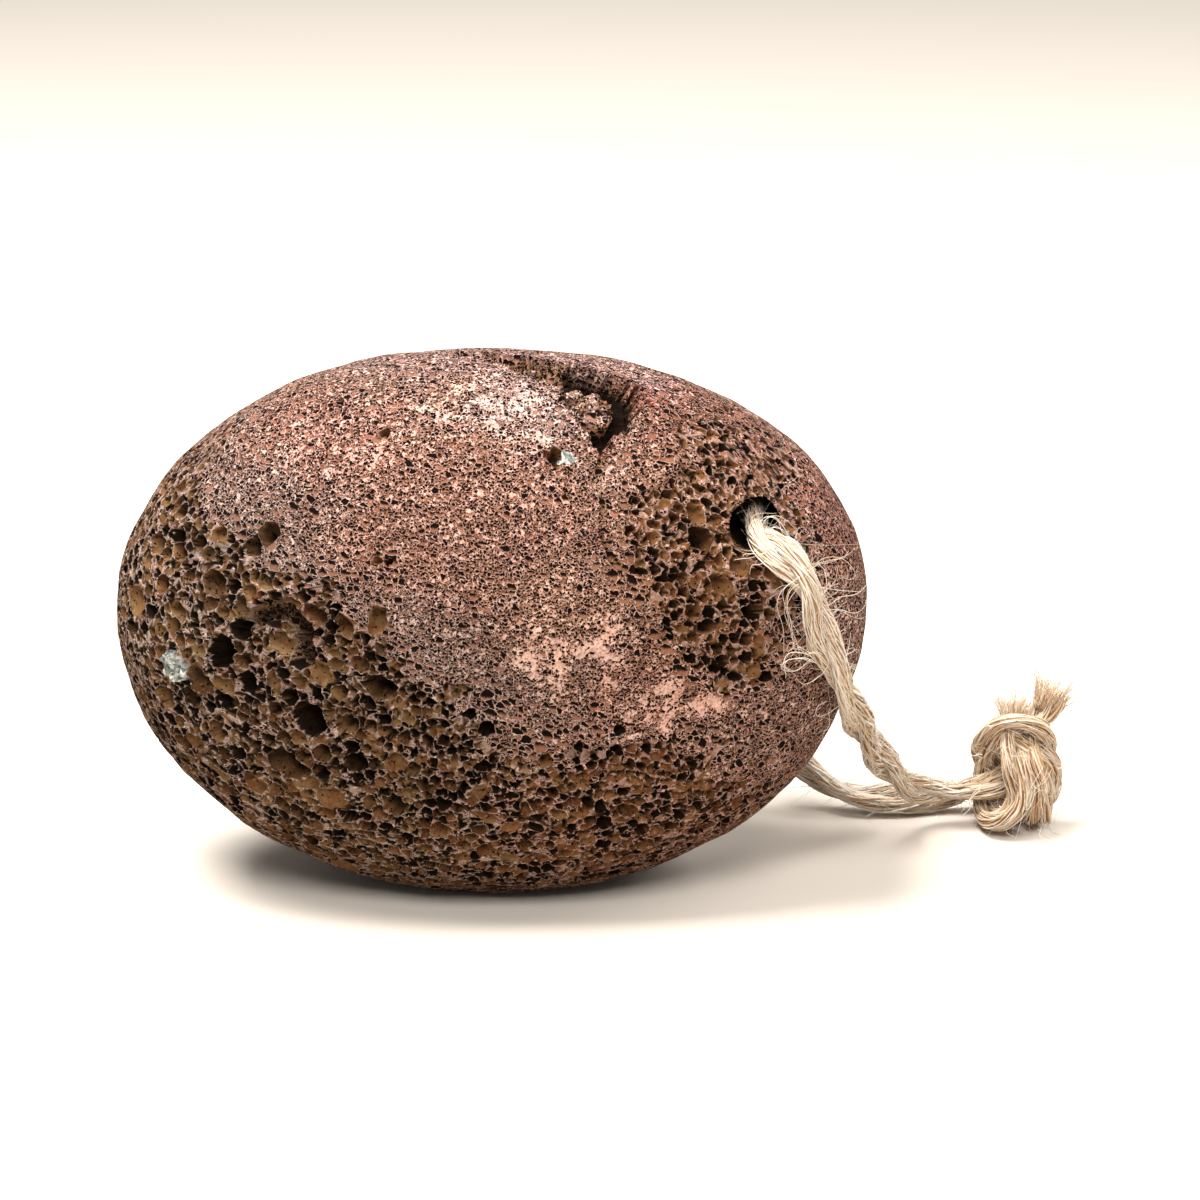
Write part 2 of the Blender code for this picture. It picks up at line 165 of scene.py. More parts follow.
# The fibres that stand out most from the cord and the knot, each along its own curl
CURLS: tuple[tuple[Point, ...], ...] = (
    ((0.0347, -0.0215, 0.0554), (0.0357, -0.0215, 0.0565), (0.0370, -0.0215, 0.0564),
     (0.0380, -0.0215, 0.0553), (0.0388, -0.0215, 0.0536)),
    ((0.0354, -0.0215, 0.0546), (0.0366, -0.0215, 0.0556), (0.0386, -0.0215, 0.0546),
     (0.0397, -0.0215, 0.0526)),
    ((0.0366, -0.0225, 0.0528), (0.0350, -0.0225, 0.0523), (0.0337, -0.0225, 0.0517),
     (0.0324, -0.0225, 0.0513)),
    ((0.0363, -0.0225, 0.0519), (0.0347, -0.0225, 0.0511), (0.0342, -0.0225, 0.0503)),
    ((0.0337, -0.0210, 0.0541), (0.0335, -0.0210, 0.0557), (0.0343, -0.0210, 0.0566),
     (0.0360, -0.0210, 0.0566)),
    ((0.0403, -0.0220, 0.0496), (0.0418, -0.0220, 0.0504), (0.0440, -0.0220, 0.0510),
     (0.0457, -0.0220, 0.0517), (0.0465, -0.0220, 0.0528)),
    ((0.0399, -0.0220, 0.0492), (0.0427, -0.0220, 0.0508), (0.0456, -0.0220, 0.0512),
     (0.0473, -0.0220, 0.0501), (0.0481, -0.0220, 0.0485), (0.0476, -0.0220, 0.0478),
     (0.0466, -0.0220, 0.0482)),
    ((0.0419, -0.0220, 0.0463), (0.0432, -0.0220, 0.0474), (0.0440, -0.0220, 0.0498),
     (0.0429, -0.0220, 0.0509)),
    ((0.0423, -0.0215, 0.0451), (0.0448, -0.0215, 0.0451), (0.0466, -0.0215, 0.0459),
     (0.0474, -0.0215, 0.0466)),
    ((0.0428, -0.0215, 0.0440), (0.0451, -0.0215, 0.0443), (0.0470, -0.0215, 0.0439),
     (0.0487, -0.0215, 0.0442), (0.0492, -0.0215, 0.0450)),
    ((0.0419, -0.0215, 0.0477), (0.0435, -0.0215, 0.0462), (0.0441, -0.0215, 0.0440),
     (0.0439, -0.0215, 0.0423)),
    ((0.0399, -0.0220, 0.0478), (0.0386, -0.0220, 0.0465), (0.0383, -0.0220, 0.0442),
     (0.0395, -0.0220, 0.0401)),
    ((0.0396, -0.0220, 0.0488), (0.0379, -0.0220, 0.0469), (0.0384, -0.0220, 0.0431),
     (0.0400, -0.0220, 0.0384)),
    ((0.0417, -0.0205, 0.0372), (0.0401, -0.0215, 0.0385), (0.0386, -0.0220, 0.0383),
     (0.0378, -0.0220, 0.0366), (0.0374, -0.0215, 0.0344)),
    ((0.0421, -0.0205, 0.0365), (0.0401, -0.0215, 0.0378), (0.0383, -0.0220, 0.0377),
     (0.0381, -0.0220, 0.0363), (0.0399, -0.0215, 0.0355), (0.0417, -0.0205, 0.0369)),
    ((0.0427, -0.0205, 0.0378), (0.0409, -0.0215, 0.0385), (0.0391, -0.0220, 0.0393),
     (0.0382, -0.0220, 0.0385)),
    ((0.0425, -0.0205, 0.0351), (0.0409, -0.0215, 0.0342), (0.0395, -0.0220, 0.0355),
     (0.0381, -0.0220, 0.0372)),
    ((0.0453, -0.0160, 0.0354), (0.0459, -0.0165, 0.0367), (0.0471, -0.0160, 0.0370),
     (0.0476, -0.0155, 0.0363)),
    ((0.0441, -0.0150, 0.0298), (0.0427, -0.0160, 0.0291), (0.0426, -0.0165, 0.0276),
     (0.0442, -0.0160, 0.0273), (0.0465, -0.0150, 0.0281)),
    ((0.0447, -0.0140, 0.0283), (0.0434, -0.0150, 0.0266), (0.0429, -0.0155, 0.0253)),
    ((0.0504, 0.0000, 0.0185), (0.0483, -0.0010, 0.0171), (0.0475, -0.0010, 0.0148),
     (0.0489, 0.0000, 0.0134), (0.0510, 0.0010, 0.0128)),
    ((0.0526, 0.0030, 0.0137), (0.0507, 0.0020, 0.0120), (0.0483, 0.0030, 0.0111)),
    ((0.0561, 0.0080, 0.0101), (0.0578, 0.0070, 0.0119), (0.0597, 0.0080, 0.0122),
     (0.0614, 0.0090, 0.0113)),
    ((0.0597, 0.0100, 0.0087), (0.0607, 0.0100, 0.0101), (0.0627, 0.0100, 0.0100)),
    ((0.0491, 0.0160, 0.0049), (0.0474, 0.0160, 0.0057), (0.0451, 0.0160, 0.0069),
     (0.0432, 0.0160, 0.0066)),
    ((0.0532, 0.0160, 0.0042), (0.0547, 0.0160, 0.0024), (0.0568, 0.0160, 0.0020),
     (0.0586, 0.0160, 0.0027)),
    ((0.0729, 0.0090, 0.0054), (0.0739, 0.0085, 0.0080), (0.0755, 0.0085, 0.0106),
     (0.0763, 0.0095, 0.0112)),
    ((0.0671, 0.0110, 0.0124), (0.0652, 0.0100, 0.0138), (0.0642, 0.0100, 0.0156),
     (0.0646, 0.0110, 0.0173)),
    ((0.0773, 0.0120, 0.0105), (0.0787, 0.0110, 0.0117), (0.0794, 0.0110, 0.0137),
     (0.0788, 0.0120, 0.0152)),
    ((0.0666, 0.0110, 0.0079), (0.0650, 0.0100, 0.0065), (0.0639, 0.0100, 0.0047)),
    ((0.0750, 0.0110, 0.0020), (0.0759, 0.0100, 0.0006), (0.0773, 0.0100, 0.0003)),
    ((0.0679, 0.0130, 0.0163), (0.0658, 0.0120, 0.0177), (0.0646, 0.0120, 0.0171)),
)


# ---------------------------------------------------------------- helpers


def tone(red: int, green: int, blue: int) -> Colour:
    """A display colour from 0 to 255 as the linear light that a shader takes.

    Args:
        red, green, blue: the display values.

    Returns:
        The linear colour.
    """
    linear = []
    for value in (red, green, blue):
        share = value / 255.0
        linear.append(share / 12.92 if share <= 0.04045 else ((share + 0.055) / 1.055) ** 2.4)
    return (linear[0], linear[1], linear[2])


def smoothstep(low: float, high: float, values: np.ndarray) -> np.ndarray:
    """A soft step from 0 at low to 1 at high."""
    share = np.clip((values - low) / (high - low), 0.0, 1.0)
    return share * share * (3.0 - 2.0 * share)


def ripple(points: np.ndarray, wavelength: float, seed: int, waves: int = 7) -> np.ndarray:
    """Smooth noise of about -1 to 1, as a sum of plane waves.

    Args:
        points: N x 3 places.
        wavelength: the usual distance between its hills.
        seed: picks the waves.
        waves: how many are added.

    Returns:
        N values.
    """
    dice = np.random.default_rng(seed)
    total = np.zeros(len(points))
    for _ in range(waves):
        direction = dice.normal(size=3)
        direction /= np.linalg.norm(direction)
        length = wavelength * dice.uniform(0.65, 1.5)
        total += np.sin(points @ direction * (2.0 * math.pi / length) + dice.uniform(0.0, 6.28))
    return total / math.sqrt(waves)


def smooth_line(route: Sequence[Point] | np.ndarray, samples: int) -> np.ndarray:
    """Points on a smooth curve through all the route's points.

    Args:
        route: the points to pass through.
        samples: points read for each stretch between two of them.

    Returns:
        An M x 3 array.
    """
    given = np.array(route, dtype=float)
    knots = np.vstack([2 * given[0] - given[1], given, 2 * given[-1] - given[-2]])
    steps = (np.arange(samples) / samples)[:, None]
    pieces = []
    for before, start, end, after in zip(knots, knots[1:], knots[2:], knots[3:]):
        pull = (2 * before - 5 * start + 4 * end - after) * steps**2
        turn = (3 * start - before - 3 * end + after) * steps**3
        pieces.append(0.5 * (2 * start + (end - before) * steps + pull + turn))
    pieces.append(given[-1:])
    return np.vstack(pieces)


def walked(line: np.ndarray) -> np.ndarray:
    """The distance along a line at each of its points."""
    return np.concatenate([[0.0], np.cumsum(np.linalg.norm(np.diff(line, axis=0), axis=1))])


def even_line(line: np.ndarray, step: float) -> np.ndarray:
    """The same line with its points at an even spacing close to step."""
    return spread_points(line, 1 + max(2, round(walked(line)[-1] / step)))


def spread_points(line: np.ndarray, count: int) -> np.ndarray:
    """Points at even distances along a line.

    Args:
        line: M x 3 points.
        count: how many to give back.

    Returns:
        A count x 3 array.
    """
    distance = walked(line)
    target = np.linspace(0.0, distance[-1], count)
    return np.stack([np.interp(target, distance, line[:, axis]) for axis in range(3)], axis=1)


def unit(vectors: np.ndarray) -> np.ndarray:
    """The same vectors, each of length one."""
    return vectors / np.maximum(np.linalg.norm(vectors, axis=-1, keepdims=True), 1e-12)


def travelling_frame(line: np.ndarray) -> tuple[np.ndarray, np.ndarray]:
    """Two directions square to a line that turn with it and never twist about it.

    Args:
        line: M x 3 points.

    Returns:
        The side and the lift direction at each point.
    """
    tangents = unit(np.gradient(line, axis=0))
    side = np.zeros_like(line)
    start = np.cross(tangents[0], (0.0, 0.0, 1.0))
    side[0] = unit(start if np.linalg.norm(start) > 0.1 else np.cross(tangents[0], (1.0, 0.0, 0.0)))
    for k in range(1, len(line)):
        carried = side[k - 1] - tangents[k] * np.dot(side[k - 1], tangents[k])
        side[k] = unit(carried)
    return side, np.cross(tangents, side)


def deselect_all() -> None:
    """Leave nothing selected and nothing active."""
    for item in bpy.context.view_layer.objects:
        item.select_set(False)
    bpy.context.view_layer.objects.active = None


def make_active(item: bpy.types.Object) -> None:
    """Select one object alone and make it the one that operators act on.

    Args:
        item: the object.
    """
    deselect_all()
    item.select_set(True)
    bpy.context.view_layer.objects.active = item


def apply_all(item: bpy.types.Object) -> None:
    """Apply every modifier of an object, in order.

    Args:
        item: the object.
    """
    make_active(item)
    for modifier in list(item.modifiers):
        bpy.ops.object.modifier_apply(modifier=modifier.name)


def vertex_places(mesh: bpy.types.Mesh) -> np.ndarray:
    """Where the vertices of a mesh are.

    Args:
        mesh: the mesh.

    Returns:
        An N x 3 array.
    """
    flat = np.empty(len(mesh.vertices) * 3, dtype=np.float32)
    mesh.vertices.foreach_get("co", flat)
    return flat.reshape(-1, 3).astype(float)


def set_vertex_places(mesh: bpy.types.Mesh, places: np.ndarray) -> None:
    """Move all the vertices of a mesh."""
    mesh.vertices.foreach_set("co", places.astype(np.float32).ravel())
    mesh.update()


def write_values(mesh: bpy.types.Mesh, name: str, values: np.ndarray) -> None:
    """Store one number or one colour for each vertex under a name that materials can read.

    Args:
        mesh: the mesh that carries them.
        name: what the material asks for.
        values: N numbers, or N x 3 colours.
    """
    if values.ndim == 1:
        layer = mesh.attributes.new(name, "FLOAT", "POINT")
        layer.data.foreach_set("value", values.astype(np.float32))
    else:
        layer = mesh.attributes.new(name, "FLOAT_COLOR", "POINT")
        opaque = np.hstack([values, np.ones((len(values), 1))])
        layer.data.foreach_set("color", opaque.astype(np.float32).ravel())


# ---------------------------------------------------------------- shader building


class NodeDesk:
    """Lays out the nodes of one material or group."""

    def __init__(self, tree: bpy.types.NodeTree) -> None:
        """Work on a tree."""
        self.tree = tree

    def add(self, kind: str, **settings: object) -> bpy.types.Node:
        """Add a node.

        Args:
            kind: the node's type.
            settings: the values of its own properties.

        Returns:
            The node.
        """
        node = self.tree.nodes.new(kind)
        for key, value in settings.items():
            setattr(node, key, value)
        return node

    def feed(self, socket: bpy.types.NodeSocket, value: object) -> None:
        """Link an output to a socket, or set the socket's own number or colour.

        Args:
            socket: the input that is fed.
            value: an output socket, a number, a vector or a colour.
        """
        if isinstance(value, bpy.types.NodeSocket):
            self.tree.links.new(value, socket)
        elif isinstance(value, tuple) and len(value) == 3 and socket.type == "RGBA":
            socket.default_value = (*value, 1.0)
        else:
            socket.default_value = value

    def math(self, operation: str, *values: object, clamp: bool = False) -> bpy.types.NodeSocket:
        """A Math node.

        Args:
            operation: what it does.
            values: one to three numbers or outputs.
            clamp: whether the result is kept from 0 to 1.

        Returns:
            The result.
        """
        node = self.add("ShaderNodeMath", operation=operation, use_clamp=clamp)
        for socket, value in zip(node.inputs, values):
            self.feed(socket, value)
        return node.outputs[0]

    def times(self, one: object, other: object) -> bpy.types.NodeSocket:
        """The product of two values."""
        return self.math("MULTIPLY", one, other)

    def step(
        self, value: object, low: object, high: object, start: float = 0.0, end: float = 1.0
    ) -> bpy.types.NodeSocket:
        """A soft step of a value.

        Args:
            value: what is read.
            low: where the step begins.
            high: where it ends.
            start: the result below low.
            end: the result above high.

        Returns:
            The result.
        """
        node = self.add("ShaderNodeMapRange", interpolation_type="SMOOTHSTEP")
        names = ("Value", "From Min", "From Max", "To Min", "To Max")
        for name, given in zip(names, (value, low, high, start, end)):
            self.feed(node.inputs[name], given)
        return node.outputs["Result"]

    def blend(
        self, share: object, low: object, high: object, how: str = "MIX"
    ) -> bpy.types.NodeSocket:
        """Mix two colours.

        Args:
            share: how much of the second there is.
            low: the first colour.
            high: the second colour.
            how: the way they are mixed.

        Returns:
            The mixed colour.
        """
        node = self.add("ShaderNodeMix", data_type="RGBA", blend_type=how)
        for index, given in ((0, share), (6, low), (7, high)):
            self.feed(node.inputs[index], given)
        return node.outputs[2]

    def pick(self, share: object, low: object, high: object) -> bpy.types.NodeSocket:
        """Mix two numbers.

        Args:
            share: how much of the second there is.
            low: the first number.
            high: the second number.

        Returns:
            The mixed number.
        """
        node = self.add("ShaderNodeMix", data_type="FLOAT")
        for index, given in ((0, share), (2, low), (3, high)):
            self.feed(node.inputs[index], given)
        return node.outputs[0]

    def noise(
        self, vector: object, scale: float, detail: float = 2.0, rough: float = 0.55
    ) -> tuple[bpy.types.NodeSocket, bpy.types.NodeSocket]:
        """A noise texture.

        Args:
            vector: the place that it is read at.
            scale: how fine it is.
            detail: how many finer layers are added.
            rough: how strong those are.

        Returns:
            Its value and its colour.
        """
        node = self.add("ShaderNodeTexNoise")
        for name, given in zip(
            ("Vector", "Scale", "Detail", "Roughness"), (vector, scale, detail, rough)
        ):
            self.feed(node.inputs[name], given)
        return node.outputs[0], node.outputs[1]

    def stored(self, name: str) -> bpy.types.NodeSocket:
        """The number that the mesh stores under a name."""
        return self.add("ShaderNodeAttribute", attribute_name=name).outputs["Fac"]

    def stored_colour(self, name: str) -> bpy.types.NodeSocket:
        """The colour that the mesh stores under a name."""
        return self.add("ShaderNodeAttribute", attribute_name=name).outputs["Color"]

    def millimetres(self) -> bpy.types.NodeSocket:
        """The place on the object.

        Returns:
            The place, in millimetres.
        """
        node = self.add("ShaderNodeVectorMath", operation="SCALE")
        self.feed(node.inputs[0], self.add("ShaderNodeTexCoord").outputs["Object"])
        self.feed(node.inputs["Scale"], 1.0 / MM)
        return node.outputs[0]

    def shift(self, vector: object, offset: object, amount: float) -> bpy.types.NodeSocket:
        """Push a place about.

        Args:
            vector: the place.
            offset: a colour, grey where the place shouldn't move.
            amount: how far the colour's ends push it.

        Returns:
            The new place.
        """
        centred = self.add("ShaderNodeVectorMath", operation="SUBTRACT")
        self.feed(centred.inputs[0], offset)
        self.feed(centred.inputs[1], (0.5, 0.5, 0.5))
        moved = self.add("ShaderNodeVectorMath", operation="MULTIPLY_ADD")
        self.feed(moved.inputs[0], centred.outputs[0])
        self.feed(moved.inputs[1], (amount, amount, amount))
        self.feed(moved.inputs[2], vector)
        return moved.outputs[0]

    def stretch(self, vector: object, way: Point, amount: float) -> bpy.types.NodeSocket:
        """Draw a texture out along a direction.

        Args:
            vector: the place that the texture is read at.
            way: the direction.
            amount: how far; 0 leaves the texture as it is.

        Returns:
            The new place.
        """
        axis = Vector(way).normalized()
        along = self.add("ShaderNodeVectorMath", operation="DOT_PRODUCT")
        self.feed(along.inputs[0], vector)
        self.feed(along.inputs[1], axis)
        back = self.add("ShaderNodeVectorMath", operation="SCALE")
        self.feed(back.inputs[0], axis)
        self.feed(back.inputs["Scale"], self.times(along.outputs["Value"], -amount))
        drawn = self.add("ShaderNodeVectorMath", operation="ADD")
        self.feed(drawn.inputs[0], vector)
        self.feed(drawn.inputs[1], back.outputs[0])
        return drawn.outputs[0]

    def group(self, tree: bpy.types.NodeTree, **values: object) -> bpy.types.Node:
        """Place a node group.

        Args:
            tree: the group.
            values: what its inputs are fed, by name.

        Returns:
            The group's node.
        """
        node = self.add("ShaderNodeGroup", node_tree=tree)
        for name, value in values.items():
            self.feed(node.inputs[name], value)
        return node

    def bump(self, shader: bpy.types.Node, height: object, strength: float = 1.0) -> None:
        """Roughen a shader's surface.

        Args:
            shader: the shader.
            height: how high the surface is at each place, in millimetres.
            strength: how strongly the light takes it.
        """
        node = self.add("ShaderNodeBump")
        for name, given in zip(("Distance", "Strength", "Height"), (MM, strength, height)):
            self.feed(node.inputs[name], given)
        self.feed(shader.inputs["Normal"], node.outputs[0])


def new_group(
    name: str, inputs: Sequence[tuple[str, str]], outputs: Sequence[tuple[str, str]]
) -> tuple[bpy.types.NodeTree, NodeDesk, bpy.types.Node, bpy.types.Node]:
    """A shader node group with named sockets.

    Args:
        name: the group's name.
        inputs: the name and the socket type of each input.
        outputs: the same for each output.

    Returns:
        The tree, a desk to build on, the group's input node and its output node.
    """
    tree = bpy.data.node_groups.new(name, "ShaderNodeTree")
    for label, kind in inputs:
        tree.interface.new_socket(label, in_out="INPUT", socket_type=kind)
    for label, kind in outputs:
        tree.interface.new_socket(label, in_out="OUTPUT", socket_type=kind)
    desk = NodeDesk(tree)
    return tree, desk, desk.add("NodeGroupInput"), desk.add("NodeGroupOutput")


def new_material(name: str) -> tuple[bpy.types.Material, NodeDesk, bpy.types.Node]:
    """A material with a Principled shader alone.

    Args:
        name: the material's name.

    Returns:
        The material, a desk to build on and the shader.
    """
    material = bpy.data.materials.new(name)
    material.use_nodes = True
    desk = NodeDesk(material.node_tree)
    return material, desk, material.node_tree.nodes["Principled BSDF"]


# ---------------------------------------------------------------- the stone


@dataclass(frozen=True)
class Skin:
    """The worn, rounded outside of the stone, before any pore is dug into it."""

    half_length: float = 0.0498
    half_thickness: float = 0.0265
    half_height: float = 0.03765
    squareness: float = 2.25
    foot_wear: float = 0.0014
    off_centre: float = 0.0001
    # Each swell's angle and spread in degrees, and its share of the radius
    swells: tuple[Point, ...] = (
        (30.0, 24.0, 0.022),
        (88.0, 26.0, -0.036),
        (160.0, 30.0, 0.015),
        (-18.0, 14.0, -0.016),
    )

    @property
    def middle(self) -> np.ndarray:
        """The stone's middle."""
        return np.array((self.off_centre, 0.0, self.half_height - self.foot_wear))

    def radius(self, directions: np.ndarray) -> np.ndarray:
        """The distance from the middle to the skin.

        Args:
            directions: N x 3 directions, each of length one.

        Returns:
            N distances.
        """
        x, y, z = directions.T
        outline = (x / self.half_length) ** 2 + (z / self.half_height) ** 2
        thickness = np.abs(y / self.half_thickness) ** self.squareness
        radius = (outline ** (self.squareness / 2) + thickness) ** (-1 / self.squareness)
        angle = np.degrees(np.arctan2(z / self.half_height, x / self.half_length))
        swell = np.zeros(len(directions))
        for centre, spread, share in self.swells:
            turn = (angle - centre + 180.0) % 360.0 - 180.0
            swell += share * np.exp(-((turn / spread) ** 2))
        return radius * (1.0 + swell * (x * x + z * z))

    def out(self, directions: np.ndarray) -> np.ndarray:
        """The points of the skin along directions of length one."""
        return self.middle + directions * self.radius(directions)[:, None]

    def under(self, places: np.ndarray) -> np.ndarray:
        """The point of the skin straight out from the middle through each place."""
        return self.out(unit(places - self.middle))

    def front(self, x: float, z: float) -> np.ndarray:
        """The point of the front face at x and z."""
        return self._along(np.array((x, 0.0, z)), np.array((0.0, -1.0, 0.0)))

    def top(self, x: float, y: float) -> np.ndarray:
        """The point of the upper side at x and y."""
        return self._along(np.array((x, y, self.middle[2])), np.array((0.0, 0.0, 1.0)))

    def _along(self, start: np.ndarray, direction: np.ndarray) -> np.ndarray:
        """Where a line from inside the stone comes out through its skin.

        Args:
            start: a point inside.
            direction: the line's direction, of length one.

        Returns:
            The point of the skin.
        """
        near, far = 0.0, 2.0 * self.half_length
        for _ in range(40):
            middle = 0.5 * (near + far)
            place = (start + middle * direction - self.middle)[None]
            inside = np.linalg.norm(place) < self.radius(unit(place))[0]
            near, far = (middle, far) if inside else (near, middle)
        return start + near * direction


@dataclass(frozen=True)
class Patch:
    """A soft-edged area of the stone."""

    centre: Point
    reach: Point
    amount: float = 1.0
    colour: Colour = (0.0, 0.0, 0.0)

    def cover(self, places: np.ndarray, fray: np.ndarray) -> np.ndarray:
        """How far each place belongs to the patch, from 0 to its amount.

        Args:
            places: N x 3 points.
            fray: N values of noise that make its edge uneven.

        Returns:
            N shares.
        """
        away = np.linalg.norm((places - np.array(self.centre)) / np.array(self.reach), axis=1)
        return self.amount * (1.0 - smoothstep(0.62, 1.12, away + 0.16 * fray))


# Where the foam is coarser or finer than its even change along the stone makes it
COARSE_PATCHES: tuple[Patch, ...] = (
    Patch((-0.030, -0.018, 0.027), (0.022, 0.026, 0.022), 0.45),
    Patch((-0.043, -0.008, 0.038), (0.014, 0.022, 0.020), 0.35),
    Patch((-0.024, -0.016, 0.057), (0.018, 0.016, 0.009), -0.22),
    Patch((0.004, -0.022, 0.047), (0.024, 0.016, 0.013), -0.25),
    Patch((-0.024, 0.020, 0.038), (0.022, 0.018, 0.020), 0.50),
    Patch((0.022, 0.022, 0.022), (0.020, 0.018, 0.015), 0.45),
    Patch((0.004, 0.018, 0.060), (0.015, 0.012, 0.009), 0.25),
    Patch((0.026, -0.018, 0.018), (0.022, 0.020, 0.015), 0.34),
    Patch((0.013, -0.010, 0.069), (0.0060, 0.0060, 0.0040), 0.75),
    Patch((0.004, -0.001, 0.0715), (0.0090, 0.0040, 0.0030), 0.60),
)
# The close honeycomb round the drilled hole
HONEYCOMB_PATCHES: tuple[Patch, ...] = (
    Patch((0.0315, -0.0190, 0.0482), (0.0122, 0.0165, 0.0170), 1.0),
    Patch((0.0255, -0.0180, 0.0535), (0.0110, 0.0160, 0.0110), 0.8),
    Patch((0.0320, -0.0110, 0.0600), (0.0130, 0.0130, 0.0090), 0.7),
    Patch((0.0330, 0.0200, 0.0520), (0.0120, 0.0130, 0.0130), 1.0),
)


class Pit(Enum):
    """How a pore was cut open by the wear of the skin: the depth of its middle."""

    SHALLOW = -0.62
    BOWL = -0.25
    ROUND = 0.10
    BLACK = 0.62


# The pores that stand out on the front face: x, z, radius and how each is cut
MAIN_PORES: tuple[tuple[float, float, float, Pit], ...] = (
    (-0.0427, 0.0455, 0.0013, Pit.ROUND),
    (-0.0355, 0.0470, 0.0019, Pit.BOWL),
    (-0.0405, 0.0425, 0.0014, Pit.BOWL),
    (-0.0309, 0.0467, 0.0011, Pit.BOWL),
    (-0.0345, 0.0383, 0.0021, Pit.BLACK),
    (-0.0317, 0.0375, 0.0012, Pit.ROUND),
    (-0.0429, 0.0300, 0.0018, Pit.ROUND),
    (-0.0378, 0.0337, 0.0017, Pit.SHALLOW),
    (-0.0345, 0.0318, 0.0012, Pit.BLACK),
    (-0.0232, 0.0302, 0.0023, Pit.BLACK),
    (-0.0183, 0.0298, 0.0015, Pit.ROUND),
    (-0.0218, 0.0254, 0.0015, Pit.ROUND),
    (-0.0262, 0.0231, 0.0022, Pit.ROUND),
    (-0.0330, 0.0240, 0.0014, Pit.BLACK),
    (-0.0391, 0.0242, 0.0013, Pit.BOWL),
    (-0.0309, 0.0193, 0.0014, Pit.BOWL),
    (-0.0235, 0.0210, 0.0014, Pit.BOWL),
    (-0.0273, 0.0162, 0.0012, Pit.ROUND),
    (-0.0206, 0.0186, 0.0019, Pit.SHALLOW),
    (-0.0100, 0.0236, 0.0013, Pit.ROUND),
    (-0.0140, 0.0352, 0.0018, Pit.ROUND),
    (-0.0183, 0.0430, 0.0013, Pit.BOWL),
    (-0.0215, 0.0367, 0.0015, Pit.SHALLOW),
    (-0.0142, 0.0441, 0.0014, Pit.BOWL),
    (-0.0283, 0.0540, 0.0015, Pit.BOWL),
    (-0.0302, 0.0522, 0.0014, Pit.ROUND),
    (-0.0435, 0.0501, 0.0017, Pit.ROUND),
    (-0.0404, 0.0518, 0.0013, Pit.BLACK),
    (-0.0401, 0.0502, 0.0014, Pit.ROUND),
    (-0.0376, 0.0518, 0.0011, Pit.ROUND),
    (-0.0350, 0.0531, 0.0011, Pit.BOWL),
    (-0.0466, 0.0421, 0.0020, Pit.SHALLOW),
    (-0.0187, 0.0158, 0.0014, Pit.BLACK),
    (-0.0146, 0.0167, 0.0012, Pit.ROUND),
    (-0.0234, 0.0153, 0.0012, Pit.BLACK),
    (-0.0024, 0.0317, 0.0009, Pit.BLACK),
    (-0.0002, 0.0296, 0.0011, Pit.BLACK),
    (0.0072, 0.0250, 0.0012, Pit.ROUND),
    (0.0169, 0.0289, 0.0009, Pit.BLACK),
    (0.0085, 0.0640, 0.0013, Pit.ROUND),
    (0.0115, 0.0269, 0.0008, Pit.BLACK),
    (0.0205, 0.0263, 0.0007, Pit.BLACK),
    (-0.0193, 0.0686, 0.0007, Pit.BLACK),
    (-0.0245, 0.0687, 0.0006, Pit.BLACK),
    (-0.0135, 0.0663, 0.0009, Pit.ROUND),
    (-0.0300, 0.0663, 0.0008, Pit.ROUND),
    (0.0362, 0.0345, 0.0010, Pit.BLACK),
    (0.0342, 0.0439, 0.0014, Pit.BLACK),
    (0.0334, 0.0401, 0.0009, Pit.ROUND),
    (0.0269, 0.0567, 0.0013, Pit.BOWL),
    (0.0275, 0.0537, 0.0016, Pit.ROUND),
    (0.0302, 0.0478, 0.0013, Pit.BOWL),
    (0.0325, 0.0497, 0.0012, Pit.BOWL),
    (0.0336, 0.0444, 0.0010, Pit.BLACK),
    (0.0345, 0.0470, 0.0008, Pit.BLACK),
    (0.0286, 0.0479, 0.0010, Pit.BOWL),
)


class Crowd:
    """Pores kept on a grid of cubes, so that a new one is compared only with those near it."""

    def __init__(self, cube: float) -> None:
        """Start an empty crowd.

        Args:
            cube: the side of a cube, at least the farthest apart that two pores still touch.
        """
        self.cube = cube
        self.found: list[tuple[np.ndarray, float, float]] = []
        self.grid: dict[tuple[int, ...], list[int]] = {}

    def settle(self, place: np.ndarray, radius: float, sink: float, closeness: float) -> None:
        """Keep a pore unless another is too near.

        Args:
            place: the pore's middle on the skin.
            radius: the radius of its mouth.
            sink: how deep its middle lies, as a share of its ball's radius.
            closeness: the share of two pores' radii that has to lie between their middles.
        """
        key = tuple(int(v) for v in np.floor(place / self.cube))
        for step in product((-1, 0, 1), repeat=3):
            beside = tuple(k + s for k, s in zip(key, step))
            for index in self.grid.get(beside, ()):
                other, other_radius, _ = self.found[index]
                away = other - place
                if away @ away < (closeness * (radius + other_radius)) ** 2:
                    return
        self.grid.setdefault(key, []).append(len(self.found))
        self.found.append((place, radius, sink))


@dataclass(frozen=True)
class Meetings:
    """Every pair of a place and a pore that reaches it, sorted so that the pore that owns a
    place comes first: the place's and the pore's number, the way from the pore's middle, the
    square of its length in the pore's own drawn-out shape, and that less the square of the
    pore's radius."""

    spot: np.ndarray
    pore: np.ndarray
    away: np.ndarray
    flat: np.ndarray
    power: np.ndarray

    @property
    def first(self) -> np.ndarray:
        """Which pairs are a place with the pore that owns it."""
        return np.concatenate([[True], self.spot[1:] != self.spot[:-1]])


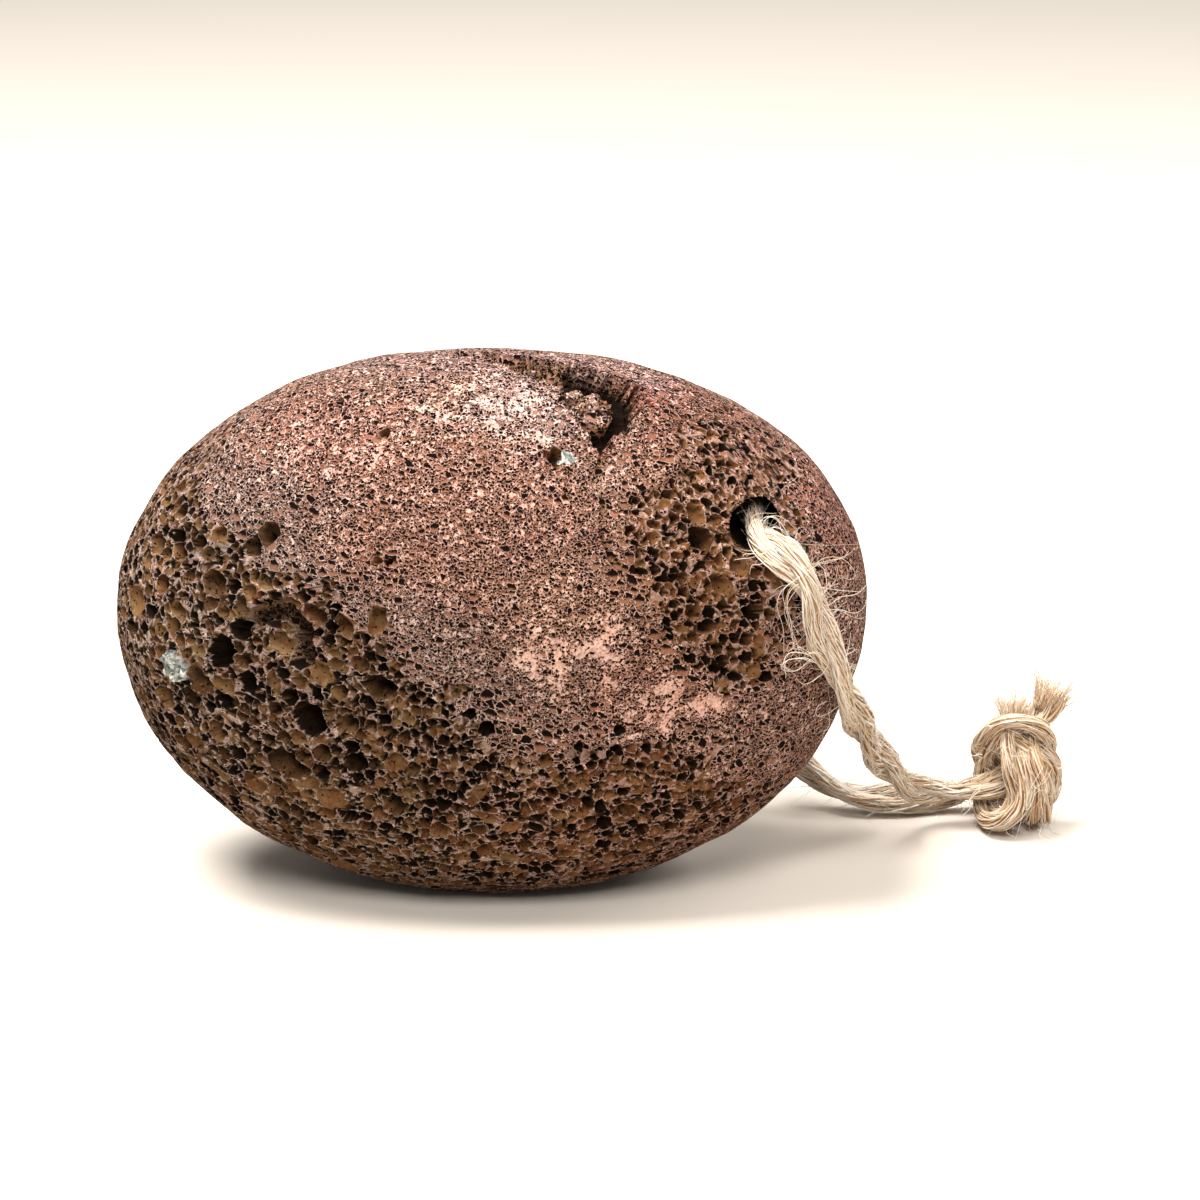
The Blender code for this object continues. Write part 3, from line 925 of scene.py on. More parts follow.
@dataclass
class PoreBed:
    """The pores of the stone's skin: bubbles that meet at thin walls, each cut open by wear."""

    skin: Skin
    seed: int = 11
    wall: float = 0.00015
    rim: float = 0.00022
    margin: float = 0.0003
    cube: float = 0.0048
    largest_coarse: float = 0.0021
    largest_close: float = 0.00118
    flow: Point = (0.80, 0.10, -0.55)
    # Each size of pore and how often one is tried
    classes: tuple[tuple[float, int], ...] = (
        (0.0020, 70),
        (0.0017, 170),
        (0.0014, 420),
        (0.00115, 1000),
        (0.00094, 2600),
        (0.00077, 7000),
        (0.00064, 18000),
        (0.00054, 32000),
    )
    centres: np.ndarray = field(default_factory=lambda: np.zeros((0, 3)))
    radii: np.ndarray = field(default_factory=lambda: np.zeros(0))
    sinks: np.ndarray = field(default_factory=lambda: np.zeros(0))

    def coarseness(self, places: np.ndarray) -> np.ndarray:
        """How coarse the foam is.

        Args:
            places: N x 3 points of the skin.

        Returns:
            N values from 0 to 1.
        """
        fray = ripple(places, 0.009, 21)
        level = 1.02 - 14.0 * places[:, 0] - 15.0 * places[:, 2] + 0.10 * fray
        for patch in COARSE_PATCHES:
            level = level + patch.cover(places, fray)
        return smoothstep(0.18, 1.15, level)

    def honeycomb(self, places: np.ndarray) -> np.ndarray:
        """How far places belong to the close honeycomb.

        Args:
            places: N x 3 points of the skin.

        Returns:
            N values from 0 to 1.
        """
        fray = ripple(places, 0.006, 22)
        return np.max([patch.cover(places, fray) for patch in HONEYCOMB_PATCHES], axis=0)

    def fill(self) -> None:
        """Place the pores, the large ones first, each as close to the others as walls allow."""
        dice = np.random.default_rng(self.seed)
        crowd = Crowd(self.cube)
        for x, z, radius, pit in MAIN_PORES:
            crowd.settle(self.skin.front(x, z), radius, pit.value, 0.2)
        for radius, tries in self.classes:
            places = self.skin.out(unit(dice.normal(size=(tries, 3))))
            close = self.honeycomb(places)
            luck = dice.random(tries)
            size = radius * dice.uniform(0.88, 1.12, tries)
            sink = dice.normal(0.02, 0.30, tries) + (luck > 0.75) * 0.45
            coarse = self.largest_coarse * self.coarseness(places) ** 1.25
            largest = np.maximum(coarse, self.largest_close * close)
            largest = largest * dice.uniform(0.50, 1.05, tries)
            closeness = np.where(close > 0.5, 0.76, 0.68)
            for k in np.nonzero(size < largest)[0]:
                crowd.settle(places[k], size[k], float(np.clip(sink[k], -0.75, 0.75)), closeness[k])
        self.centres, self.radii, self.sinks = map(np.array, zip(*crowd.found))

    def dig(self, places: np.ndarray) -> tuple[np.ndarray, np.ndarray, np.ndarray, np.ndarray]:
        """Read the pores at points of the skin.

        Args:
            places: N x 3 points of the skin.

        Returns:
            The depth below the skin, the distance in from the nearest wall of a pore (less
            than 0 on a wall), a number from 0 to 1 that each pore has for itself, and how
            little light reaches the place, from 0 to 1.
        """
        dice = np.random.default_rng(self.seed + 1)
        count = len(self.radii)
        lean = unit(np.array(self.flow) + 0.45 * dice.normal(size=(count, 3)))
        stretch = 1.0 + 0.75 * dice.random(count) ** 1.5
        own = dice.random(count)
        throats = unit(dice.normal(size=(count, 3)))
        meetings = self._meet(self._bend(places), lean, stretch)
        edge = self._edge(meetings, len(places))
        first = meetings.first
        index, who = meetings.spot[first], meetings.pore[first]
        away, radii = meetings.away[first], self.radii[who]
        ball = radii / np.sqrt(1.0 - self.sinks[who] ** 2)
        bowl = self.sinks[who] * ball + np.sqrt(np.maximum(ball**2 - meetings.flat[first], 0.0))
        throat = away - throats[who] * (0.35 * radii)[:, None]
        reach = np.linalg.norm(throat, axis=1) / (0.42 * radii)
        bowl += (own[who] > 0.62) * 0.9 * radii * (1.0 - smoothstep(0.7, 1.0, reach))
        # painted shade: gloom darkens a pore deep in its bowl and on its upper side, where light from
        # above doesn't reach
        rise = away[:, 2] / radii + 0.5 * (own[who] - 0.5)
        shade = smoothstep(-0.45, 0.45, rise) * smoothstep(0.10, 0.45, bowl / radii)
        depth, character, gloom = np.zeros((3, len(places)))
        depth[index] = bowl * smoothstep(0.0, self.rim, edge[index])
        character[index] = own[who]
        gloom[index] = np.maximum(smoothstep(0.50, 1.15, bowl / radii), 0.72 * shade)
        return depth, edge, character, gloom

    def _bend(self, places: np.ndarray) -> np.ndarray:
        """Push points about a little, so that the pores' walls run unevenly.

        Args:
            places: N x 3 points of the skin.

        Returns:
            The same points, moved.
        """
        push = []
        for axis in range(3):
            coarse = 0.00022 * ripple(places, 0.0016, 31 + axis)
            push.append(coarse + 0.00010 * ripple(places, 0.0007, 34 + axis))
        return places + np.stack(push, axis=1)

    def _meet(self, places: np.ndarray, lean: np.ndarray, stretch: np.ndarray) -> Meetings:
        """Find which pores reach which places.

        Args:
            places: N x 3 points.
            lean: the direction that each pore is drawn out in.
            stretch: how far each is.

        Returns:
            The pairs.
        """
        tree = KDTree(len(places))
        for index, place in enumerate(places):
            tree.insert(place, index)
        tree.balance()
        reaches = self.radii * stretch + self.margin
        near = [
            [hit[1] for hit in tree.find_range(centre, reach)]
            for centre, reach in zip(self.centres, reaches)
        ]
        pore = np.repeat(np.arange(len(near)), [len(hits) for hits in near])
        spot = np.concatenate([np.array(hits, dtype=np.int64) for hits in near])
        away = places[spot] - self.centres[pore]
        along = np.einsum("ij,ij->i", away, lean[pore])
        flat = np.einsum("ij,ij->i", away, away) - (1 - 1 / stretch[pore] ** 2) * along**2
        power = flat - self.radii[pore] ** 2
        order = np.lexsort((power, spot))
        return Meetings(*(values[order] for values in (spot, pore, away, flat, power)))

    def _edge(self, pairs: Meetings, count: int) -> np.ndarray:
        """The distance in from the wall of the pore that owns each place.

        Args:
            pairs: the places and the pores that reach them.
            count: how many places there are.

        Returns:
            The distances, less than 0 on a wall.
        """
        first = pairs.first
        index = pairs.spot[first]
        owner = np.full(count, -1)
        owner[index] = pairs.pore[first]
        own_power, nearest = np.full((2, count), np.inf)
        own_power[index] = pairs.power[first]
        inner = np.full(count, -1.0)
        inner[index] = self.radii[pairs.pore[first]] - np.sqrt(np.maximum(pairs.flat[first], 0.0))
        others = pairs.pore != owner[pairs.spot]
        spot = pairs.spot[others]
        apart = self.centres[pairs.pore[others]] - self.centres[owner[spot]]
        between = 2.0 * np.maximum(np.linalg.norm(apart, axis=1), 1e-5)
        np.minimum.at(nearest, spot, (pairs.power[others] - own_power[spot]) / between)
        return np.where(owner < 0, -1.0, np.minimum(inner, nearest) - 0.5 * self.wall)


@dataclass(frozen=True)
class Groove:
    """A broken channel in the skin, as thick as each of its points says.

    The route's points are x, y and a radius on the upper side, or x, z and a radius on the front.
    """

    route: tuple[Point, ...]
    on_top: bool = True
    sink: float = 0.0
    rough: float = 0.0007

    def dig(self, skin: Skin, places: np.ndarray) -> np.ndarray:
        """The depth of the channel.

        Args:
            skin: the skin that it is cut in.
            places: N x 3 points of the skin.

        Returns:
            N depths below the skin.
        """
        find = skin.top if self.on_top else skin.front
        points = np.array([find(a, b) for a, b, _ in self.route])
        radii = np.array([radius for _, _, radius in self.route])
        depth = np.zeros(len(places))
        close = np.linalg.norm(places - points.mean(axis=0), axis=1) < 0.03
        spots = places[close]
        best = np.zeros(len(spots))
        uneven = self.rough * (ripple(spots, 0.0030, 41) + 0.6 * ripple(spots, 0.0011, 42))
        for start, end, start_radius, end_radius in zip(points, points[1:], radii, radii[1:]):
            along = end - start
            share = np.clip(((spots - start) @ along) / (along @ along), 0.0, 1.0)
            away = np.linalg.norm(spots - start - share[:, None] * along, axis=1)
            radius = start_radius + share * (end_radius - start_radius)
            away = away + uneven * np.minimum(1.0, radius / 0.0015)
            hollow = np.sqrt(np.maximum(radius**2 - away**2, 0.0)) + self.sink * radius
            best = np.maximum(best, np.where(away < radius, hollow, 0.0))
        depth[close] = best
        return depth


@dataclass(frozen=True)
class FinePores:
    """One size of the pores that are too fine for the mesh, as cells in the material.

    Scale is the cells to a millimetre, wall and soft are the width of a wall and of its soft
    edge in cells, start and rise set the share of the cells that is open where the foam is shut
    and how much that grows where it is open, and deep is how far a pore sinks in millimetres.
    """

    scale: float
    wall: float
    soft: float
    start: float
    rise: float
    deep: float


@dataclass(frozen=True)
class PumiceFinish:
    """The colours of the lava foam: pale walls, olive floors, and a dark painted shade for the pores'
    throats.
    """

    wall: Colour = tone(212, 162, 138)
    # pale glass of the thin walls, and a painted highlight along their crests
    wall_pale_and_glint: Colour = tone(246, 222, 212)
    floor_olive: Colour = tone(146, 120, 82)
    floor_brown: Colour = tone(122, 86, 54)
    # throat: very dark painted shade for the depths of pores, pin holes, clefts and the drilled hole
    throat: Colour = tone(12, 7, 4)
    # pore_dark: the tone of some large pores' floors, picked at random, and the painted shade on the
    # upper side of fine pores
    pore_dark: Colour = tone(20, 10, 6)
    dusk: Colour = tone(120, 62, 44)
    pore_mid: Colour = tone(122, 76, 52)
    torn_low: Colour = tone(108, 72, 44)
    torn_high: Colour = tone(190, 154, 112)
    crystal_dark: Colour = tone(92, 100, 94)
    crystal_pale: Colour = tone(232, 234, 226)
    roughness: float = 0.92
    fine_pores: tuple[FinePores, ...] = (
        FinePores(0.95, 0.030, 0.05, -0.03, 0.58, 0.46),
        FinePores(1.45, 0.035, 0.06, 0.16, 0.66, 0.34),
        FinePores(2.20, 0.045, 0.09, 0.86, 0.10, 0.20),
        FinePores(3.40, 0.060, 0.13, 0.66, 0.0, 0.08),
    )
    films: tuple[Patch, ...] = (
        Patch((0.0105, -0.0235, 0.0395), (0.0090, 0.0100, 0.0050), 1.0),
        Patch((0.0240, -0.0220, 0.0310), (0.0090, 0.0100, 0.0045), 1.0),
        Patch((0.0020, -0.0120, 0.0680), (0.0110, 0.0080, 0.0050), 0.5),
        Patch((-0.0200, -0.0130, 0.0640), (0.0120, 0.0090, 0.0050), 0.35),
    )
    stains: tuple[Patch, ...] = (
        Patch((-0.034, -0.018, 0.030), (0.030, 0.030, 0.032), 0.9, tone(198, 178, 162)),
        Patch((-0.010, -0.018, 0.014), (0.030, 0.024, 0.018), 0.9, tone(206, 178, 158)),
        Patch((-0.030, -0.012, 0.057), (0.018, 0.018, 0.011), 0.8, tone(168, 142, 128)),
        Patch((-0.014, -0.022, 0.036), (0.022, 0.020, 0.016), 0.9, tone(188, 158, 142)),
        Patch((-0.004, -0.020, 0.056), (0.020, 0.018, 0.012), 0.9, tone(216, 152, 126)),
        Patch((-0.020, -0.010, 0.065), (0.014, 0.012, 0.006), 0.8, tone(212, 142, 118)),
        Patch((0.011, -0.023, 0.045), (0.012, 0.010, 0.008), 0.9, tone(242, 182, 150)),
        Patch((0.022, -0.022, 0.034), (0.012, 0.010, 0.008), 0.8, tone(236, 168, 142)),
        Patch((0.030, -0.010, 0.064), (0.018, 0.014, 0.010), 0.9, tone(176, 108, 84)),
        Patch((0.0185, -0.0065, 0.0697), (0.006, 0.006, 0.005), 0.9, tone(186, 100, 82)),
        Patch((0.0150, -0.0150, 0.0625), (0.003, 0.004, 0.006), 0.9, tone(198, 112, 88)),
        Patch((0.0060, -0.0120, 0.0690), (0.009, 0.007, 0.006), 0.8, tone(240, 202, 190)),
        Patch((0.0290, -0.0200, 0.0500), (0.014, 0.015, 0.017), 0.9, tone(214, 154, 116)),
        Patch((0.044, -0.010, 0.040), (0.012, 0.022, 0.028), 0.9, tone(226, 174, 152)),
        Patch((0.046, -0.004, 0.054), (0.008, 0.014, 0.010), 0.9, tone(206, 134, 112)),
        Patch((0.020, -0.018, 0.014), (0.028, 0.022, 0.014), 0.9, tone(226, 170, 144)),
        Patch((0.006, 0.002, 0.072), (0.034, 0.012, 0.004), 0.8, tone(212, 170, 160)),
        Patch((-0.010, 0.022, 0.052), (0.020, 0.014, 0.014), 0.7, tone(218, 144, 114)),
        Patch((0.030, 0.020, 0.020), (0.020, 0.016, 0.016), 0.7, tone(206, 172, 152)),
    )

    def film(self, places: np.ndarray) -> np.ndarray:
        """Where a thin film has sealed the pores.

        Args:
            places: N x 3 points of the skin.

        Returns:
            N values from 0 to 1.
        """
        fray = ripple(places, 0.004, 55)
        cover = np.max([patch.cover(places, fray) for patch in self.films], axis=0)
        flakes = ripple(places, 0.0022, 56) + 0.5 * ripple(places, 0.001, 57)
        return cover * smoothstep(0.05, 0.35, flakes)

    def stain(self, places: np.ndarray) -> np.ndarray:
        """The colour of the walls at each place.

        Args:
            places: N x 3 points of the skin.

        Returns:
            N x 3 linear colours.
        """
        fray = ripple(places, 0.007, 51) + 0.5 * ripple(places, 0.0025, 52)
        colours = np.tile(np.array(self.wall), (len(places), 1))
        for patch in self.stains:
            share = patch.cover(places, fray)[:, None]
            colours = colours * (1.0 - share) + np.array(patch.colour) * share
        light = 0.96 + 0.12 * ripple(places, 0.004, 53) + 0.08 * ripple(places, 0.0015, 54)
        return np.clip(colours * light[:, None], 0.0, 1.0)

    def material(self) -> bpy.types.Material:
        """The stone's material."""
        return FoamShader(self).build()


class FoamShader:
    """Lays out the foam's material, which reads the values stored on the stone's mesh."""

    def __init__(self, finish: PumiceFinish) -> None:
        """Start the material and read what its parts share.

        Args:
            finish: the foam's colours and fine pores.
        """
        self.finish = finish
        self.material, self.desk, self.shader = new_material("pumice_foam")
        desk = self.desk
        self.layer = self._pore_layer()
        self.place = desk.millimetres()
        self.own = desk.stored("character")
        self.torn = desk.stored("torn")
        self.stain = desk.stored_colour("stain")
        self.fleck, _ = desk.noise(self.place, 2.6, 3.0, 0.70)
        self.cloud, _ = desk.noise(self.place, 0.45, 3.0)
        edge = desk.stored("edge")
        whole = desk.math("SUBTRACT", 1.0, self.torn)
        self.inside = desk.times(desk.step(edge, -0.055, 0.005), whole)
        self.outside = desk.math("SUBTRACT", 1.0, self.inside)
        self.beside = desk.times(desk.step(edge, -0.075, -0.025), whole)

    def build(self) -> bpy.types.Material:
        """Lay out the colour, the gloss and the relief.

        Returns:
            The material.
        """
        desk, shader = self.desk, self.shader
        pit, sunk_by, dark, floor_pit = self._fine_pores()
        crumb, _ = desk.noise(self.place, 2.2, 3.0)
        crystal = desk.step(desk.math("ADD", desk.stored("crystal"), crumb), 0.92, 1.06)
        colour = self._colour(pit, dark, floor_pit)
        desk.feed(shader.inputs["Base Color"], desk.blend(crystal, colour, self._crystal()))
        gloss = desk.step(self.fleck, 0.3, 0.8, 0.80, self.finish.roughness)
        desk.feed(shader.inputs["Roughness"], gloss)
        shine = desk.math("MULTIPLY_ADD", crystal, 0.45, 0.05)
        desk.feed(shader.inputs["Specular IOR Level"], shine)
        relief = desk.times(desk.times(sunk_by, self.outside), -1.0)
        relief = desk.math("ADD", relief, desk.times(floor_pit, -0.25))
        grit, _ = desk.noise(self.place, 5.0, 3.0, 0.7)
        desk.bump(shader, desk.math("ADD", relief, desk.times(grit, 0.10)))
        return self.material

    def _pore_layer(self) -> bpy.types.NodeTree:
        """The group that draws one size of fine pores.

        Returns:
            A group that puts out how far a place is inside a pore that is open, whether the
            pore's cell is one that is open, how dark the painted shade is there, darkest on
            the pore's upper side, and the cell's own number.
        """
        numbers = ("Scale", "Wall", "Soft", "Share")
        inputs = [("Vector", "NodeSocketVector")]
        inputs += [(name, "NodeSocketFloat") for name in numbers]
        outputs = [(name, "NodeSocketFloat") for name in ("Pit", "Open", "Dark", "Own")]
        tree, desk, given, result = new_group("pore_layer", inputs, outputs)
        walls = desk.add("ShaderNodeTexVoronoi", feature="DISTANCE_TO_EDGE")
        cells = desk.add("ShaderNodeTexVoronoi", feature="F1")
        for node in (walls, cells):
            desk.feed(node.inputs["Vector"], given.outputs["Vector"])
            desk.feed(node.inputs["Scale"], given.outputs["Scale"])
        high = desk.math("ADD", given.outputs["Wall"], given.outputs["Soft"])
        pit = desk.step(walls.outputs["Distance"], given.outputs["Wall"], high)
        split = desk.add("ShaderNodeSeparateColor")
        desk.feed(split.inputs[0], cells.outputs["Color"])
        opened = desk.math("LESS_THAN", split.outputs[0], given.outputs["Share"])
        away = desk.add("ShaderNodeVectorMath", operation="SUBTRACT")
        desk.feed(away.inputs[0], given.outputs["Vector"])
        desk.feed(away.inputs[1], cells.outputs["Position"])
        parts = desk.add("ShaderNodeSeparateXYZ")
        desk.feed(parts.inputs[0], away.outputs[0])
        # painted shade: each pore is darker on its upper side, as if light came from above
        rise = desk.times(parts.outputs["Z"], given.outputs["Scale"])
        rise = desk.math("ADD", rise, desk.math("MULTIPLY_ADD", split.outputs[1], 0.75, -0.28))
        desk.feed(result.inputs["Pit"], desk.times(pit, opened))
        desk.feed(result.inputs["Open"], opened)
        desk.feed(result.inputs["Dark"], desk.step(rise, -0.32, 0.10))
        desk.feed(result.inputs["Own"], split.outputs[1])
        return tree

    def _open_share(self) -> bpy.types.NodeSocket:
        """How open the fine foam is: most where it turns from fine to coarse.

        Returns:
            The share, from 0 to 1.
        """
        desk = self.desk
        coarse = desk.stored("coarse")
        between = desk.times(coarse, desk.math("SUBTRACT", 1.0, coarse))
        share = desk.math("MULTIPLY", between, 2.4, clamp=True)
        share = desk.math("MAXIMUM", share, desk.times(coarse, 0.62))
        return desk.pick(self.torn, share, 0.55)

    def _layers(self) -> list[bpy.types.Node]:
        """The sizes of fine pores, the larger ones drawn out along the flow.

        Returns:
            One group node for each size.
        """
        desk = self.desk
        _, drift = desk.noise(self.place, 1.1, 3.0, 0.75)
        bent = desk.shift(self.place, drift, 0.85)
        drawn = desk.stretch(bent, (0.80, 0.10, -0.55), 0.30)
        open_up = self._open_share()
        shut = desk.times(desk.stored("film"), -0.75)
        layers = []
        for size in self.finish.fine_pores:
            share = desk.math("MULTIPLY_ADD", open_up, size.rise, size.start)
            values = {"Scale": size.scale, "Wall": size.wall, "Soft": size.soft}
            values["Vector"] = drawn if size.scale < 1.9 else bent
            values["Share"] = desk.math("ADD", share, shut)
            layers.append(desk.group(self.layer, **values))
        return layers

    def _fine_pores(self) -> tuple[bpy.types.NodeSocket, ...]:
        """Lay the sizes of fine pores over each other, an open larger one over smaller ones.

        Returns:
            How far a place is inside a pore, how deep it has sunk, how dark its painted shade is
            there, and where the floor of a large pore has a pin hole, painted dark as shade.
        """
        desk = self.desk
        large, middle, small, tiny = self._layers()
        depths = [size.deep for size in self.finish.fine_pores]
        pit = desk.math("MAXIMUM", small.outputs["Pit"], tiny.outputs["Pit"])
        sunk_by = desk.math(
            "ADD",
            desk.times(small.outputs["Pit"], depths[2]),
            desk.times(tiny.outputs["Pit"], depths[3]),
        )
        finer = desk.math("GREATER_THAN", tiny.outputs["Pit"], small.outputs["Pit"])
        dark = desk.pick(finer, small.outputs["Dark"], tiny.outputs["Dark"])
        for node, deep in ((middle, depths[1]), (large, depths[0])):
            opened = node.outputs["Open"]
            pit = desk.pick(opened, pit, node.outputs["Pit"])
            sunk_by = desk.pick(opened, sunk_by, desk.times(node.outputs["Pit"], deep))
            dark = desk.pick(opened, dark, node.outputs["Dark"])
        pin = desk.math("GREATER_THAN", tiny.outputs["Own"], 0.86)
        return pit, sunk_by, dark, desk.times(desk.times(tiny.outputs["Pit"], pin), self.inside)

    def _wall(self, pit: bpy.types.NodeSocket) -> bpy.types.NodeSocket:
        """The colour of the walls, palest along their ridges: partly the pale glass, partly a painted
        highlight.

        Args:
            pit: how far a place is inside a fine pore.

        Returns:
            The colour.
        """
        desk, look = self.desk, self.finish
        # ridge: the pale glass and its painted highlight, on the crests between fine pores and round
        # the rims of large ones
        ridge = desk.math("SUBTRACT", 1.0, desk.step(pit, 0.0, 0.55))
        ridge = desk.times(ridge, desk.step(self.fleck, 0.34, 0.60))
        ridge = desk.math("MAXIMUM", ridge, desk.times(self.beside, 0.85))
        base = desk.blend(0.35, self.stain, look.dusk)
        wall = desk.blend(ridge, base, desk.blend(0.52, self.stain, look.wall_pale_and_glint))
        wall = desk.blend(desk.step(self.cloud, 0.35, 0.7, 0.0, 0.30), wall, look.dusk)
        torn_high = desk.blend(0.2, look.torn_high, self.stain)
        return desk.blend(self.torn, wall, desk.blend(ridge, look.torn_low, torn_high))

    def _floor(self) -> bpy.types.NodeSocket:
        """The colour of the large pores' floors, which each pore sets apart a little.

        Returns:
            The colour.
        """
        desk, look = self.desk, self.finish
        floor = desk.blend(desk.step(self.cloud, 0.35, 0.65), look.floor_olive, look.floor_brown)
        floor = desk.blend(desk.step(self.own, 0.0, 1.0, 0.0, 0.45), floor, look.floor_brown)
        floor = desk.blend(0.6, floor, self.stain, "MULTIPLY")
        floor = desk.blend(desk.step(self.own, 0.35, 1.0, 0.0, 0.55), floor, look.pore_dark)
        return desk.blend(desk.step(self.fleck, 0.55, 0.8, 0.0, 0.40), floor, self.stain)

    def _colour(
        self, pit: bpy.types.NodeSocket, dark: bpy.types.NodeSocket, floor_pit: bpy.types.NodeSocket
    ) -> bpy.types.NodeSocket:
        """The colour of walls, floors and fine pores together, with painted shade in the pores and
        their throats.

        Args:
            pit: how far a place is inside a fine pore.
            dark: how dark the painted shade is there.
            floor_pit: where a large pore's floor has a pin hole, painted dark as its shade.

        Returns:
            The colour.
        """
        desk, look = self.desk, self.finish
        wall_pit = desk.times(pit, self.outside)
        wall_pit = desk.times(wall_pit, desk.math("SUBTRACT", 1.0, self.beside))
        pore_lit = desk.blend(0.20, look.pore_mid, self.stain)
        colour = desk.blend(self.inside, self._wall(pit), self._floor())
        # painted shade: a fine pore runs from lit brown to dark on its upper side
        colour = desk.blend(wall_pit, colour, desk.blend(dark, pore_lit, look.pore_dark))
        # painted shade: the pin holes in large pores' floors
        colour = desk.blend(floor_pit, colour, look.throat)
        # painted shade: the stored gloom darkens open pores, torn skin and the drilled hole towards
        # the throat colour
        open_skin = desk.math("MAXIMUM", self.inside, self.torn)
        unlit = desk.times(desk.step(desk.stored("gloom"), 0.10, 1.0), open_skin)
        return desk.blend(desk.times(unlit, 0.96), colour, look.throat)

    def _crystal(self) -> bpy.types.NodeSocket:
        """The colour of the glassy crystals, facet by facet.

        Returns:
            The colour.
        """
        desk, look = self.desk, self.finish
        facets = desk.group(self.layer, Vector=self.place, Scale=1.9, Wall=0.0, Soft=0.5, Share=2.0)
        return desk.blend(facets.outputs["Own"], look.crystal_dark, look.crystal_pale)


@dataclass
class PumiceStone:
    """The lump of lava foam: its pores, its broken top, its drilled hole and its worn foot.

    Gather and lean draw the ball's points towards its front, so that the finest faces are where
    the stone is seen most; each nodule is x, y and a radius, and each crystal x, z and a radius.
    """

    skin: Skin = field(default_factory=Skin)
    finish: PumiceFinish = field(default_factory=PumiceFinish)
    fineness: int = 9
    gather: Point = (0.050, 0.030, 0.038)
    lean: Point = (-0.004, -0.009, -0.003)
    face_budget: int = 188000
    hole_x: float = 0.0342
    hole_z: float = 0.0540
    hole_radius: float = 0.00325
    wear_radius: float = 0.0025
    valley: Groove = Groove(
        (
            (-0.0036, 0.0012, 0.0010),
            (0.0002, 0.0000, 0.0019),
            (0.0034, -0.0020, 0.0024),
            (0.0064, -0.0038, 0.0028),
            (0.0092, -0.0050, 0.0030),
            (0.0120, -0.0044, 0.0020),
        )
    )
    cleft: Groove = Groove(
        (
            (0.0118, -0.0040, 0.0018),
            (0.0174, -0.0054, 0.0018),
            (0.0186, -0.0080, 0.0017),
            (0.0177, -0.0112, 0.0015),
            (0.0160, -0.0140, 0.0013),
            (0.0147, -0.0166, 0.0008),
        ),
        sink=1.2,
    )
    hollow: Groove = Groove(
        (
            (0.0118, -0.0058, 0.0030),
            (0.0138, -0.0096, 0.0044),
            (0.0146, -0.0128, 0.0034),
            (0.0149, -0.0158, 0.0013),
        )
    )
    gap: Groove = Groove(
        (
            (0.0030, -0.0046, 0.0006),
            (0.0062, -0.0066, 0.0010),
            (0.0094, -0.0076, 0.0013),
            (0.0118, -0.0068, 0.0010),
        ),
        sink=1.6,
        rough=0.0005,
    )
    cave: Groove = Groove(
        (
            (-0.0300, 0.0435, 0.0014),
            (-0.0283, 0.0449, 0.0011),
            (-0.0262, 0.0448, 0.0012),
            (-0.0244, 0.0426, 0.0015),
            (-0.0240, 0.0386, 0.0014),
        ),
        on_top=False,
        sink=0.5,
        rough=0.0002,
    )
    seam: Groove = Groove(
        (
            (0.0149, 0.0640, 0.0007),
            (0.0139, 0.0610, 0.0003),
            (0.0152, 0.0580, 0.0005),
            (0.0145, 0.0548, 0.0003),
            (0.0158, 0.0522, 0.0006),
            (0.0180, 0.0496, 0.0003),
        ),
        on_top=False,
        rough=0.0005,
    )
    nodules: tuple[Point, ...] = ((0.0145, -0.0112, 0.0034), (0.0106, -0.0098, 0.0027))
    nodule_sunk: float = 0.0003
    crystals: tuple[Point, ...] = ((-0.0412, 0.0348, 0.0021), (0.0101, 0.0634, 0.0012))
    skin_loss: float = 0.00018
    honeycomb_step: float = 0.00030
    bit_steps: int = 56
    bit_length: float = 0.064

    def build(self) -> bpy.types.Object:
        """Model the stone and dress it.

        Returns:
            The stone's piece.
        """
        bed = PoreBed(self.skin)
        bed.fill()
        LOG.info("pores placed: %d", len(bed.radii))
        stone = self._ball()
        self._press(stone, bed)
        self._thin(stone)
        self._drill(stone)
        self._stand(stone)
        self._store(stone, bed)
        stone.data.materials.clear()
        stone.data.materials.append(self.finish.material())
        make_active(stone)
        bpy.ops.object.shade_smooth_by_angle(angle=math.radians(58.0))
        return stone

    def _ball(self) -> bpy.types.Object:
        """A fine ball, to be pressed out to the skin.

        Returns:
            The ball.
        """
        deselect_all()
        bpy.ops.mesh.primitive_ico_sphere_add(subdivisions=self.fineness, radius=1.0)
        ball = bpy.context.active_object
        ball.name = "pumice_stone"
        ball.data.name = "pumice_stone"
        return ball

    def _lump(self, places: np.ndarray, x: float, y: float, radius: float) -> np.ndarray:
        """The depth of a flat-topped nodule that stands in the broken top.

        Args:
            places: N x 3 points of the skin.
            x, y: where it stands on the upper side.
            radius: its radius.

        Returns:
            N depths, without end beside it.
        """
        inward = unit(self.skin.middle - places)
        top = self.skin.top(x, y)
        middle = top + unit(self.skin.middle - top) * (radius + self.nodule_sunk)
        ahead = np.einsum("ij,ij->i", middle - places, inward)
        beside = np.linalg.norm(middle - places - ahead[:, None] * inward, axis=1)
        bulge = np.maximum(radius**4 - beside**4, 0.0) ** 0.25
        lump = np.where(beside < radius, ahead - bulge, np.inf)
        lump = lump + 0.00035 * ripple(places, 0.0018, 61)
        lump = lump + 0.00015 * ripple(places, 0.0008, 64)
        return np.maximum(lump, 0.0)

